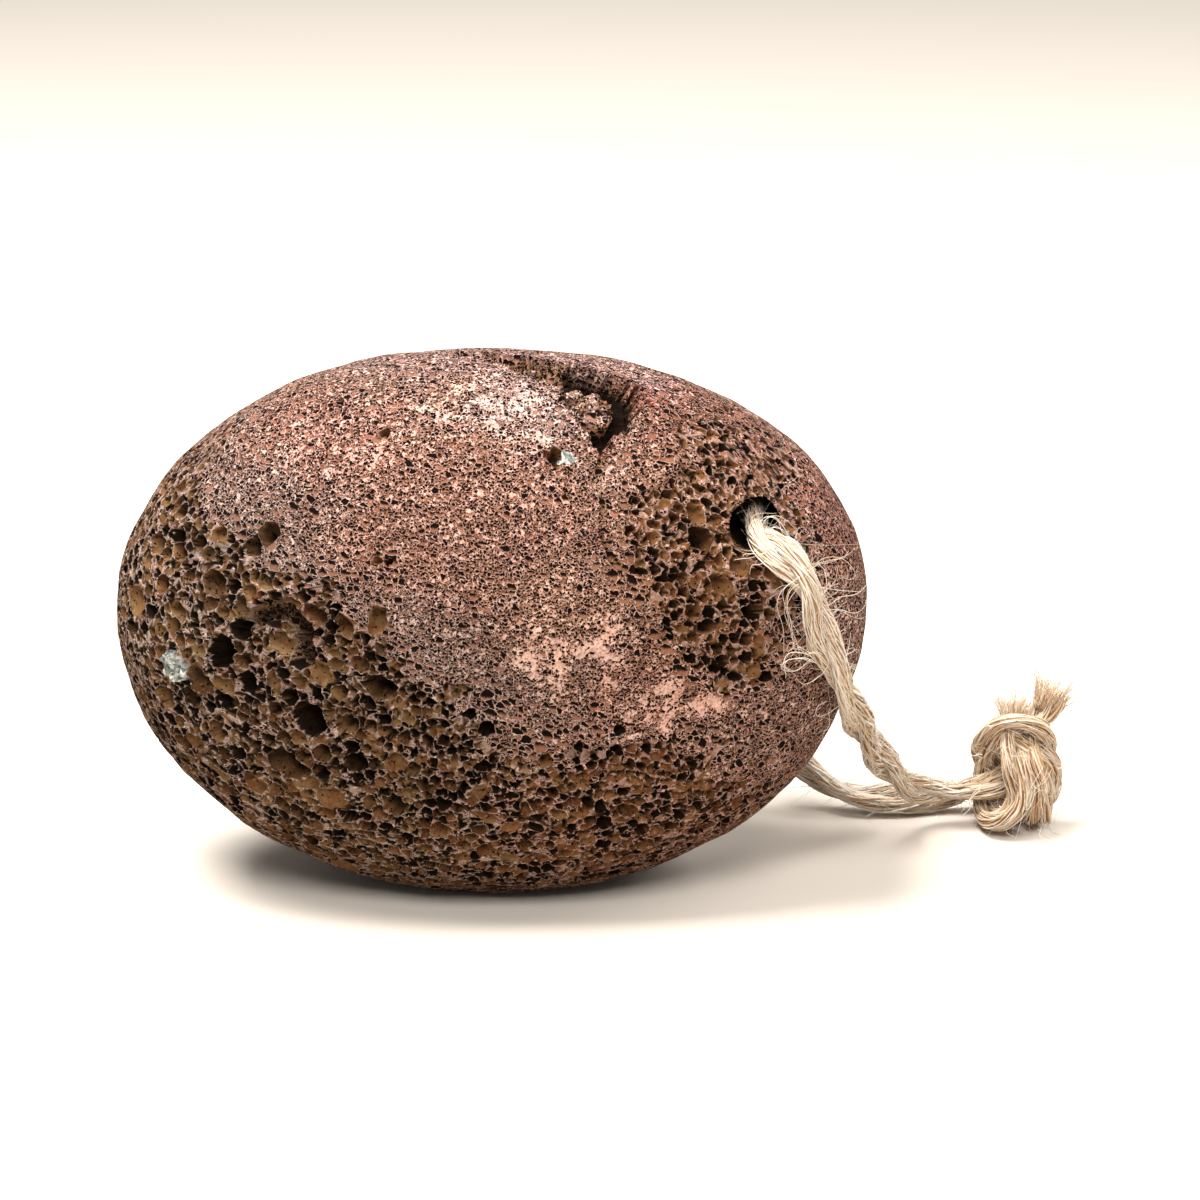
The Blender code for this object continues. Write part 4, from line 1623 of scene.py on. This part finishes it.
    def _broken(self, places: np.ndarray) -> tuple[np.ndarray, np.ndarray]:
        """Where the skin is broken away.

        Args:
            places: N x 3 points of the skin.

        Returns:
            The depth, and how dark the painted shade is in the clefts, the gap and the cave, from 0 to
            1.
        """
        open_grooves = (self.hollow, self.valley, self.seam, self.gap, self.cave)
        depths = [groove.dig(self.skin, places) for groove in open_grooves]
        gap, cave = depths[-2:]
        broken = np.max(depths, axis=0)
        for nodule in self.nodules:
            broken = np.minimum(broken, self._lump(places, *nodule))
        cleft = self.cleft.dig(self.skin, places)
        # painted shade: narrow clefts, the gap and the cave are darkened where light can't get in
        cleft_shade = smoothstep(0.0005, 0.0016, np.maximum(cleft, 1.3 * gap))
        cleft_shade = np.maximum(cleft_shade, 0.75 * smoothstep(0.0007, 0.0019, cave))
        return np.maximum(broken, cleft), cleft_shade

    def _relief(self, places: np.ndarray, bed: PoreBed) -> tuple[np.ndarray, ...]:
        """Depths and pore values at points of the skin.

        Args:
            places: N x 3 points of the skin.
            bed: the pores.

        Returns:
            The whole depth, the distance in from a pore's wall, the pore's own number,
            whether the skin is broken away, and how little light comes in, from 0 to 1.
        """
        depth, edge, character, gloom = bed.dig(places)
        broken, cleft_shade = self._broken(places)
        torn = smoothstep(0.0001, 0.0005, broken)
        swell = 0.00012 * ripple(places, 0.009, 62) + 0.00005 * ripple(places, 0.003, 63)
        step_down = self.honeycomb_step * smoothstep(0.42, 0.58, bed.honeycomb(places))
        whole = np.maximum(broken + 0.5 * torn * depth, depth) + self.skin_loss + swell + step_down
        # painted shade: deep broken skin gets gloom as well
        gloom = np.maximum(gloom * (1.0 - 0.5 * torn), smoothstep(0.0020, 0.0036, broken))
        return np.maximum(whole, 0.0), edge, character, torn, np.maximum(gloom, cleft_shade)

    def _press(self, stone: bpy.types.Object, bed: PoreBed) -> None:
        """Press the ball out to the skin and dig the pores and the broken top.

        Args:
            stone: the ball.
            bed: the pores.
        """
        directions = unit(vertex_places(stone.data) * np.array(self.gather) + np.array(self.lean))
        places = self.skin.out(directions)
        depth = self._relief(places, bed)[0]
        set_vertex_places(stone.data, places - directions * depth[:, None])

    def _thin(self, stone: bpy.types.Object) -> None:
        """Drop faces where the surface is plain, so that the rest may be fine.

        Args:
            stone: the stone.
        """
        thin = stone.modifiers.new("fewer_faces", "DECIMATE")
        thin.decimate_type = "COLLAPSE"
        thin.ratio = self.face_budget / len(stone.data.polygons)
        apply_all(stone)

    def _drill(self, stone: bpy.types.Object) -> None:
        """Drill the hole and wear its two mouths where the cord runs.

        Args:
            stone: the stone.
        """
        line = even_line(smooth_line(CORD_ROUTE, 6), 0.0015)
        at_front = (line[:, 1] < 0.0) & (line[:, 0] < 0.0400) & (line[:, 2] > 0.0475)
        at_back = (line[:, 1] > 0.008) & (line[:, 2] > 0.0470)
        cutters = [self._drill_bit()]
        cutters += [self._worn_groove(line[part]) for part in (at_front, at_back)]
        for cutter in cutters:
            cut = stone.modifiers.new("cut", "BOOLEAN")
            cut.operation = "DIFFERENCE"
            cut.solver = "MANIFOLD"
            cut.object = cutter
        apply_all(stone)
        for cutter in cutters:
            bpy.data.objects.remove(cutter, do_unlink=True)

    def _drill_bit(self) -> bpy.types.Object:
        """A long, slightly uneven round bar along the hole.

        Returns:
            The bar.
        """
        deselect_all()
        bpy.ops.mesh.primitive_circle_add(
            vertices=44,
            radius=self.hole_radius,
            fill_type="NGON",
            location=(self.hole_x, -0.5 * self.bit_length, self.hole_z),
            rotation=(math.radians(90.0), 0.0, 0.0),
        )
        bit = bpy.context.active_object
        make_active(bit)
        bpy.ops.object.transform_apply(location=True, rotation=True, scale=True)
        bpy.ops.object.mode_set(mode="EDIT")
        bpy.ops.mesh.select_all(action="SELECT")
        for _ in range(self.bit_steps):
            bpy.ops.mesh.extrude_region_move(
                TRANSFORM_OT_translate={"value": (0.0, self.bit_length / self.bit_steps, 0.0)}
            )
        bpy.ops.mesh.select_all(action="SELECT")
        bpy.ops.mesh.normals_make_consistent(inside=False)
        bpy.ops.object.mode_set(mode="OBJECT")
        places = vertex_places(bit.data)
        outward = places - np.array((self.hole_x, 0.0, self.hole_z))
        outward[:, 1] = 0.0
        rough = 1.0 + 0.035 * ripple(places, 0.0030, 71) + 0.02 * ripple(places, 0.0012, 72)
        set_vertex_places(bit.data, places + outward * (rough - 1.0)[:, None])
        return bit

    def _worn_groove(self, line: np.ndarray) -> bpy.types.Object:
        """A tube along a stretch of the cord, a little thicker than it.

        Args:
            line: M x 3 points of the cord's middle.

        Returns:
            The tube.
        """
        curve = bpy.data.curves.new("worn_groove", "CURVE")
        curve.dimensions = "3D"
        curve.bevel_depth = self.wear_radius
        curve.bevel_resolution = 4
        curve.use_fill_caps = True
        spline = curve.splines.new("POLY")
        spline.points.add(len(line) - 1)
        for point, place in zip(spline.points, line):
            point.co = (*place, 1.0)
        groove = bpy.data.objects.new("worn_groove", curve)
        bpy.context.scene.collection.objects.link(groove)
        make_active(groove)
        bpy.ops.object.convert(target="MESH")
        bpy.ops.object.mode_set(mode="EDIT")
        bpy.ops.mesh.select_all(action="SELECT")
        bpy.ops.mesh.remove_doubles(threshold=1e-6)
        bpy.ops.mesh.normals_make_consistent(inside=False)
        bpy.ops.object.mode_set(mode="OBJECT")
        return bpy.context.active_object

    def _stand(self, stone: bpy.types.Object) -> None:
        """Wear the underside flat, so that the stone stands.

        Args:
            stone: the stone.
        """
        places = vertex_places(stone.data)
        places[:, 2] = np.maximum(places[:, 2], 0.0)
        set_vertex_places(stone.data, places)

    def _glassy(self, places: np.ndarray) -> np.ndarray:
        """How far places belong to one of the crystals.

        Args:
            places: N x 3 points of the stone.

        Returns:
            N values from 0 to 1.
        """
        share = np.zeros(len(places))
        for x, z, radius in self.crystals:
            away = np.linalg.norm(places - self.skin.front(x, z), axis=1)
            away = away + 0.35 * radius * ripple(places, 0.0016, 81)
            share = np.maximum(share, 1.0 - smoothstep(0.8 * radius, 1.05 * radius, away))
        return share

    def _store(self, stone: bpy.types.Object, bed: PoreBed) -> None:
        """Store on the mesh what its material reads, distances in millimetres.

        Args:
            stone: the stone.
            bed: the pores.
        """
        places = vertex_places(stone.data)
        outside = self.skin.under(places)
        _, edge, character, torn, gloom = self._relief(outside, bed)
        depth = np.linalg.norm(outside - self.skin.middle, axis=1)
        depth -= np.linalg.norm(places - self.skin.middle, axis=1)
        in_hole = np.hypot(places[:, 0] - self.hole_x, places[:, 2] - self.hole_z)
        bored = (in_hole < self.hole_radius * 1.15) & (depth > 0.0006)
        values = {
            "edge": np.clip(edge, -0.001, 0.002) / MM,
            # painted shade: inside the drilled hole the gloom grows with depth
            "gloom": np.where(bored, smoothstep(0.0006, 0.0045, depth), gloom),
            "character": character,
            "torn": np.where(bored, 1.0, torn),
            "coarse": np.maximum(bed.coarseness(outside), 0.8 * bed.honeycomb(outside)),
            "crystal": self._glassy(places),
            "film": self.finish.film(outside),
            "stain": self.finish.stain(outside),
        }
        for name, numbers in values.items():
            write_values(stone.data, name, numbers)


# ---------------------------------------------------------------- the twine


@dataclass(frozen=True)
class JuteFinish:
    """Dry jute: straw-coloured fibres with pale glints, and brown painted shade in the hollows between
    them.
    """

    name: str
    straw: Colour = tone(236, 210, 180)
    pale: Colour = tone(252, 242, 228)
    # brown: the fibres' own streaks, and the painted shade in the plies' cores
    brown: Colour = tone(150, 106, 64)
    roughness: float = 0.68
    shine: float = 0.4

    def material(self) -> bpy.types.Material:
        """The material of one jute piece, which reads the values stored on its fibres.

        Returns:
            The material.
        """
        material, desk, shader = new_material(self.name)
        own = desk.stored("own")
        spot = desk.add("ShaderNodeCombineXYZ")
        desk.feed(spot.inputs[0], desk.times(own, 97.0))
        desk.feed(spot.inputs[1], desk.stored("along"))
        streak, _ = desk.noise(spot.outputs[0], 0.55, 3.0)
        hair, _ = desk.noise(desk.millimetres(), 6.0, 3.0, 0.7)
        colour = desk.blend(desk.step(own, 0.1, 0.75), self.straw, self.pale)
        colour = desk.blend(desk.step(streak, 0.52, 0.8, 0.0, 0.75), colour, self.brown)
        colour = desk.blend(desk.step(hair, 0.5, 0.85, 0.0, 0.4), colour, self.brown)
        # painted shade: what carries a stored shade, the plies' cores, turns brown and darkens the
        # gaps between the fibres
        hidden = desk.step(desk.stored("shade"), 0.0, 1.0, 0.0, 0.85)
        desk.feed(shader.inputs["Base Color"], desk.blend(hidden, colour, self.brown))
        desk.feed(shader.inputs["Roughness"], self.roughness)
        desk.feed(shader.inputs["Specular IOR Level"], self.shine)
        desk.bump(shader, desk.times(hair, 0.08), 0.6)
        return material


@dataclass
class FibreBundle:
    """Thin round fibres, gathered and turned into one mesh."""

    places: list[np.ndarray] = field(default_factory=list)
    faces: list[tuple[int, ...]] = field(default_factory=list)
    own: list[np.ndarray] = field(default_factory=list)
    along: list[np.ndarray] = field(default_factory=list)
    shade: list[np.ndarray] = field(default_factory=list)
    count: int = 0

    def add(
        self, lines: np.ndarray, radii: np.ndarray, own: np.ndarray, shade: float, sides: int = 3
    ) -> None:
        """Add fibres that have the same number of points.

        Args:
            lines: F x M x 3 centre lines.
            radii: F x M radii.
            own: F numbers that set the fibres' colours apart.
            shade: how much painted shade turns them brown, from 0 to 1.
            sides: how many sides each has.
        """
        fibres, points, _ = lines.shape
        tangents = unit(np.gradient(lines, axis=1))
        side = np.zeros_like(lines)
        side[:, 0] = unit(np.cross(tangents[:, 0], np.array((0.31, 0.52, 0.80))))
        for k in range(1, points):
            dot = np.einsum("ij,ij->i", side[:, k - 1], tangents[:, k])[:, None]
            side[:, k] = unit(side[:, k - 1] - tangents[:, k] * dot)
        lift = np.cross(tangents, side)
        turn = np.arange(sides) * (2.0 * math.pi / sides)
        ring = side[:, :, None, :] * np.cos(turn)[None, None, :, None]
        ring = ring + lift[:, :, None, :] * np.sin(turn)[None, None, :, None]
        rings = lines[:, :, None, :] + ring * radii[:, :, None, None]
        start = self.count + np.arange(fibres)[:, None, None] * points * sides
        row = start + np.arange(points - 1)[None, :, None] * sides
        here = np.arange(sides)
        after = (here + 1) % sides
        quads = np.stack([row + here, row + after, row + after + sides, row + here + sides], axis=-1)
        self.faces.extend(map(tuple, quads.reshape(-1, 4).tolist()))
        root = start[:, 0]
        self.faces.extend(map(tuple, (root + here[::-1]).tolist()))
        self.faces.extend(map(tuple, (root + (points - 1) * sides + here).tolist()))
        self.places.append(rings.reshape(-1, 3))
        steps = np.cumsum(np.linalg.norm(np.diff(lines, axis=1), axis=2), axis=1) / MM
        distance = np.concatenate([np.zeros((fibres, 1)), steps], axis=1)
        self.along.append(np.repeat(distance.ravel(), sides))
        self.own.append(np.repeat(own, points * sides))
        self.shade.append(np.full(fibres * points * sides, shade))
        self.count += fibres * points * sides

    def piece(self, name: str, material: bpy.types.Material) -> bpy.types.Object:
        """All the fibres as one object, with their stored values.

        Args:
            name: the object's name.
            material: what it is made of.

        Returns:
            The object.
        """
        mesh = bpy.data.meshes.new(name)
        places = np.vstack(self.places)
        places[:, 2] = np.maximum(places[:, 2], 0.00005)
        mesh.from_pydata(places.tolist(), [], self.faces)
        write_values(mesh, "own", np.concatenate(self.own))
        write_values(mesh, "along", np.concatenate(self.along))
        write_values(mesh, "shade", np.concatenate(self.shade))
        mesh.materials.append(material)
        mesh.shade_smooth()
        mesh.update()
        piece = bpy.data.objects.new(name, mesh)
        bpy.context.scene.collection.objects.link(piece)
        return piece


@dataclass
class Twine:
    """One length of soft two-ply jute: out of the knot, through the stone and back into it."""

    radius: float = 0.0021
    knot_radius: float = 0.0019
    ring_step: float = 0.0008
    plies: int = 2
    fibres_per_ply: int = 42
    ply_offset: float = 0.00100
    ply_radius: float = 0.00104
    fibre_radius: float = 0.000135
    ply_pitch: float = 0.034
    fibre_pitch: float = 0.048
    fray: float = 0.0050
    seed: int = 5

    def __post_init__(self) -> None:
        """Lay out the whole line, from one loose end to the other."""
        middle = np.array(KNOT_MIDDLE)
        front = np.array(KNOT_FRONT_STRAND) + middle
        back = np.array(KNOT_BACK_STRAND) + middle
        self.route = np.vstack([front[::-1], np.array(CORD_ROUTE), back])
        self.line = even_line(smooth_line(self.route, 8), self.ring_step)
        loop = smooth_line(CORD_ROUTE, 8)
        self.first = int(np.argmin(np.linalg.norm(self.line - loop[0], axis=1)))
        self.last = int(np.argmin(np.linalg.norm(self.line - loop[-1], axis=1)))
        self.side, self.lift = travelling_frame(self.line)
        self.distance = walked(self.line)
        self.to_end = np.minimum(self.distance, self.distance[-1] - self.distance)

    def around(self, angle: np.ndarray) -> np.ndarray:
        """The direction out from the line at an angle about it."""
        return np.cos(angle)[:, None] * self.side + np.sin(angle)[:, None] * self.lift

    def ply_lines(self) -> np.ndarray:
        """The centre lines of the plies, wound about each other.

        Returns:
            A plies x M x 3 array.
        """
        lines = []
        for ply in range(self.plies):
            angle = 2.0 * math.pi * (self.distance / self.ply_pitch + ply / self.plies) + 0.9
            angle = angle + 0.5 * np.sin(self.distance / 0.011)
            lines.append(self.line + self.around(angle) * (self.ply_offset * self.girth())[:, None])
        return np.array(lines)

    def fibre_lines(self) -> tuple[np.ndarray, np.ndarray, np.ndarray]:
        """All the fibres, ply by ply, each a little loose in its own way.

        Returns:
            Their centre lines, their radii and their own numbers.
        """
        dice = np.random.default_rng(self.seed)
        far = self.distance
        lines, radii, own = [], [], []
        for ply in self.ply_lines():
            for fibre in range(self.fibres_per_ply):
                phase = dice.uniform(0.0, 6.28, 5)
                wave = dice.uniform((0.0016, 0.0007, 0.0016, 0.0006), (0.0034, 0.0015, 0.0040, 0.0012))
                angle = 2.0 * math.pi * (fibre / self.fibres_per_ply - far / self.fibre_pitch)
                angle = angle + 0.30 * np.sin(far / wave[0] + phase[0])
                angle = angle + 0.10 * np.sin(far / wave[1] + phase[1])
                loose = 0.30 if dice.random() < 0.22 else 0.05
                wobble = 0.98 + loose * np.maximum(np.sin(far / wave[2] + phase[2]), -0.3)
                wobble = wobble + 0.03 * np.sin(far / wave[3] + phase[3])
                out = self.ply_radius * self.girth() * wobble
                lines.append(ply + self.around(angle) * out[:, None])
                cut = self.fray * dice.random()
                taper = 0.15 + 0.85 * smoothstep(cut - 0.0015, cut + 0.0015, self.to_end)
                thick = self.fibre_radius * dice.uniform(0.6, 1.3) * taper
                radii.append(thick * (1.0 + 0.25 * np.sin(far / 0.003 + phase[4])))
                own.append(dice.random())
        return np.array(lines), np.array(radii), np.array(own)

    def core_radii(self) -> np.ndarray:
        """The radius of each ply's core, which takes painted shade to darken the gaps between the
        fibres and ends before the frayed tips.
        """
        core = self.ply_radius * 0.93 * self.girth() * smoothstep(0.001, self.fray, self.to_end)
        return np.tile(np.maximum(core, 0.00004), (self.plies, 1))

    def girth(self) -> np.ndarray:
        """How thick the twine is along its line: slimmer in the knot, splayed at the tips.

        Returns:
            A share of its full thickness for each point.
        """
        index = np.arange(len(self.line))
        into = np.minimum(index - self.first, self.last - index) * self.ring_step
        slim = self.knot_radius / self.radius
        full = slim + (1.03 - slim) * smoothstep(-0.004, 0.006, into)
        splay = 1.0 + 0.30 * (1.0 - smoothstep(0.0, 0.006, self.to_end))
        return full * splay * (1.0 + 0.05 * np.sin(self.distance / 0.0065))


@dataclass
class JutePieces:
    """The twine's two pieces, the free loop and the knot, and the fibres that stand off them."""

    twine: Twine = field(default_factory=Twine)
    loose_count: int = 1500
    loose_radius: float = 0.000045
    frayed_count: int = 190
    seed: int = 9

    def loop(self) -> bpy.types.Object:
        """The free loop of cord.

        Returns:
            The piece.
        """
        bundle = FibreBundle()
        self._wind(bundle, slice(self.twine.first - 2, self.twine.last + 3))
        return bundle.piece("jute_cord", JuteFinish("jute_cord").material())

    def knot(self) -> bpy.types.Object:
        """The doubled overhand knot with its two frayed ends.

        Returns:
            The piece.
        """
        bundle = FibreBundle()
        self._wind(bundle, slice(0, self.twine.first + 1))
        self._wind(bundle, slice(self.twine.last, len(self.twine.line)))
        self._fray(bundle)
        finish = JuteFinish(
            "jute_knot", tone(204, 166, 122), tone(238, 222, 200), tone(116, 72, 38)
        )
        return bundle.piece("jute_knot", finish.material())

    def _wind(self, bundle: FibreBundle, part: slice) -> None:
        """Add the fibres and the cores of one stretch of the twine.

        Args:
            bundle: what they are added to.
            part: which points of the twine's line.
        """
        lines, radii, own = self.twine.fibre_lines()
        cores = self.twine.ply_lines()[:, part]
        bundle.add(lines[:, part], radii[:, part], own, 0.0)
        # the cores take painted shade, so the gaps between the fibres look dark
        bundle.add(cores, self.twine.core_radii()[:, part], np.full(len(cores), 0.2), 0.9, 8)

    def _fray(self, bundle: FibreBundle) -> None:
        """Let the fibres of the two loose ends splay like a soft brush.

        Args:
            bundle: what the fibres are added to.
        """
        dice = np.random.default_rng(self.seed)
        line = self.twine.line
        share = np.linspace(0.0, 1.0, 9)
        count = self.frayed_count
        for tip, inner in ((line[0], line[6]), (line[-1], line[-7])):
            way = unit(tip - inner)
            spread = unit(dice.normal(size=(count, 3)))
            spread = spread - (spread @ way)[:, None] * way
            length = dice.uniform(0.0022, 0.0062, count)
            root = tip - way * 0.0034 + spread * 0.0016 * dice.random((count, 1)) ** 0.5
            bend = (way + 0.42 * spread)[:, None, :] * share[None, :, None]
            curl = unit(dice.normal(size=(count, 3)))[:, None, :] * (share**2)[None, :, None]
            lines = root[:, None, :] + (bend + 0.28 * curl) * length[:, None, None]
            radii = dice.uniform(0.00004, 0.00009, count)[:, None] * (1.0 - 0.6 * share)[None]
            bundle.add(lines, radii, dice.random(count), 0.0)

    def loose_fibres(self) -> bpy.types.Object:
        """Fibres that have worked loose and curl away from the twine.

        Returns:
            The piece.
        """
        dice = np.random.default_rng(self.seed + 1)
        lines, _, _ = self.twine.fibre_lines()
        share = np.linspace(0.0, 1.0, 12)
        count = self.loose_count
        which = dice.integers(0, lines.shape[0], count)
        where = dice.integers(6, lines.shape[1] - 6, count)
        root = lines[which, where]
        out = unit(root - self.twine.line[where])
        way = unit(lines[which, where + 3] - root) * dice.choice((-1.0, 1.0), count)[:, None]
        length = 0.0009 + 0.0022 * dice.random(count) + 0.0060 * dice.random(count) ** 9
        curl = unit(dice.normal(size=(count, 3)))
        first = (0.9 * way + 0.45 * out)[:, None, :] * share[None, :, None]
        second = (0.8 * curl - 0.4 * way)[:, None, :] * (share**2)[None, :, None]
        body = root[:, None, :] + (first + second) * length[:, None, None]
        radii = dice.uniform(0.5, 1.1, count)[:, None] * self.loose_radius * (1.2 - 0.7 * share)
        bundle = FibreBundle()
        bundle.add(body, radii, dice.random(count), 0.0)
        self._curls(bundle, dice)
        finish = JuteFinish("jute_fibres", tone(238, 218, 186), tone(252, 244, 230))
        return bundle.piece("loose_fibres", finish.material())

    def _curls(self, bundle: FibreBundle, dice: np.random.Generator) -> None:
        """Add the longest loose fibres, one to three side by side.

        Args:
            bundle: what they are added to.
            dice: where their small differences come from.
        """
        share = np.linspace(0.0, 1.0, 24)
        body = []
        for curl in CURLS:
            line = spread_points(smooth_line(curl, 8), len(share))
            for _ in range(int(dice.integers(1, 4))):
                drift = dice.normal(size=3) * 0.0007 * share[:, None]
                turn = share[:, None] * dice.uniform(4.0, 12.0, 3) + dice.uniform(0.0, 6.0, 3)
                body.append(line + drift + 0.00025 * np.sin(turn))
        lines = np.array(body)
        radii = dice.uniform(0.00004, 0.000075, len(lines))[:, None] * (1.0 - 0.5 * share)[None]
        bundle.add(lines, radii, dice.random(len(lines)), 0.0)


# ---------------------------------------------------------------- the studio


@dataclass(frozen=True)
class Lamp:
    """A square soft light that faces the stone."""

    name: str
    place: Point
    size: float
    power: float
    colour: Colour = (1.0, 0.98, 0.96)

    def hang(self, target: Vector) -> None:
        """Put the lamp in its place.

        Args:
            target: what it faces.
        """
        lamp = bpy.data.lights.new(self.name, "AREA")
        lamp.size = self.size
        lamp.energy = self.power
        lamp.color = self.colour
        item = bpy.data.objects.new(self.name, lamp)
        item.location = self.place
        item.rotation_euler = (target - Vector(self.place)).to_track_quat("-Z", "Y").to_euler()
        bpy.context.scene.collection.objects.link(item)


@dataclass
class Studio:
    """A plain pale floor, soft light and the camera."""

    target: Point = (0.0143, 0.0, 0.03865)
    distance: float = 0.600
    elevation: float = 18.0
    lens: float = 135.0
    floor_size: float = 6.0
    floor_colour: Colour = (0.92, 0.84, 0.74)
    bounce_colour: Colour = (0.50, 0.44, 0.37)
    world_light: float = 0.20
    lamps: tuple[Lamp, ...] = (
        Lamp("key", (-0.22, -0.03, 0.68), 0.38, 10.0),
        Lamp("side", (0.60, 0.10, 0.45), 0.30, 2.6),
        Lamp("fill", (0.05, -0.60, 0.60), 0.32, 4.2),
    )

    def build(self) -> None:
        """Set up the floor, the light and the camera."""
        self._floor()
        self._world()
        for lamp in self.lamps:
            lamp.hang(Vector(self.target))
        self._camera()
        bpy.context.scene.view_settings.view_transform = "Standard"

    def _floor(self) -> None:
        """A wide plain sheet under the stone, which gives back less light than it shows."""
        deselect_all()
        bpy.ops.mesh.primitive_plane_add(size=self.floor_size, location=(0.0, 0.0, 0.0))
        floor = bpy.context.active_object
        floor.name = "floor"
        material, desk, shader = new_material("floor")
        seen = desk.add("ShaderNodeLightPath").outputs["Is Camera Ray"]
        colour = desk.blend(seen, self.bounce_colour, self.floor_colour)
        desk.feed(shader.inputs["Base Color"], colour)
        desk.feed(shader.inputs["Roughness"], 0.9)
        floor.data.materials.append(material)

    def _world(self) -> None:
        """Even white light from all round."""
        world = bpy.data.worlds.new("studio")
        bpy.context.scene.world = world
        world.use_nodes = True
        sky = world.node_tree.nodes["Background"]
        sky.inputs["Color"].default_value = (1.0, 1.0, 1.0, 1.0)
        sky.inputs["Strength"].default_value = self.world_light

    def _camera(self) -> None:
        """The camera, which looks along +Y and a little down."""
        data = bpy.data.cameras.new("camera")
        data.sensor_width = 36.0
        data.lens = self.lens
        camera = bpy.data.objects.new("camera", data)
        tilt = math.radians(self.elevation)
        back = Vector((0.0, -math.cos(tilt), math.sin(tilt))) * self.distance
        camera.location = Vector(self.target) + back
        camera.rotation_euler = (math.radians(90.0 - self.elevation), 0.0, 0.0)
        bpy.context.scene.collection.objects.link(camera)
        bpy.context.scene.camera = camera


def main() -> None:
    """Build the studio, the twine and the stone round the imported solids."""
    logging.basicConfig(level=logging.INFO, format="%(name)s: %(message)s")
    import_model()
    Studio().build()

    jute = JutePieces()
    cord = jute.loop()
    knot = jute.knot()
    fibres = jute.loose_fibres()
    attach(cord, BODY)
    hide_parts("cord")
    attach(knot, BODY)
    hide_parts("knot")
    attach(fibres, BODY)
    for piece in (cord, knot, fibres):
        LOG.info("%s: %d faces", piece.name, len(piece.data.polygons))

    stone = PumiceStone().build()
    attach(stone, BODY)
    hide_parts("stone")
    LOG.info("%s: %d faces", stone.name, len(stone.data.polygons))


if __name__ == "__main__":
    main()
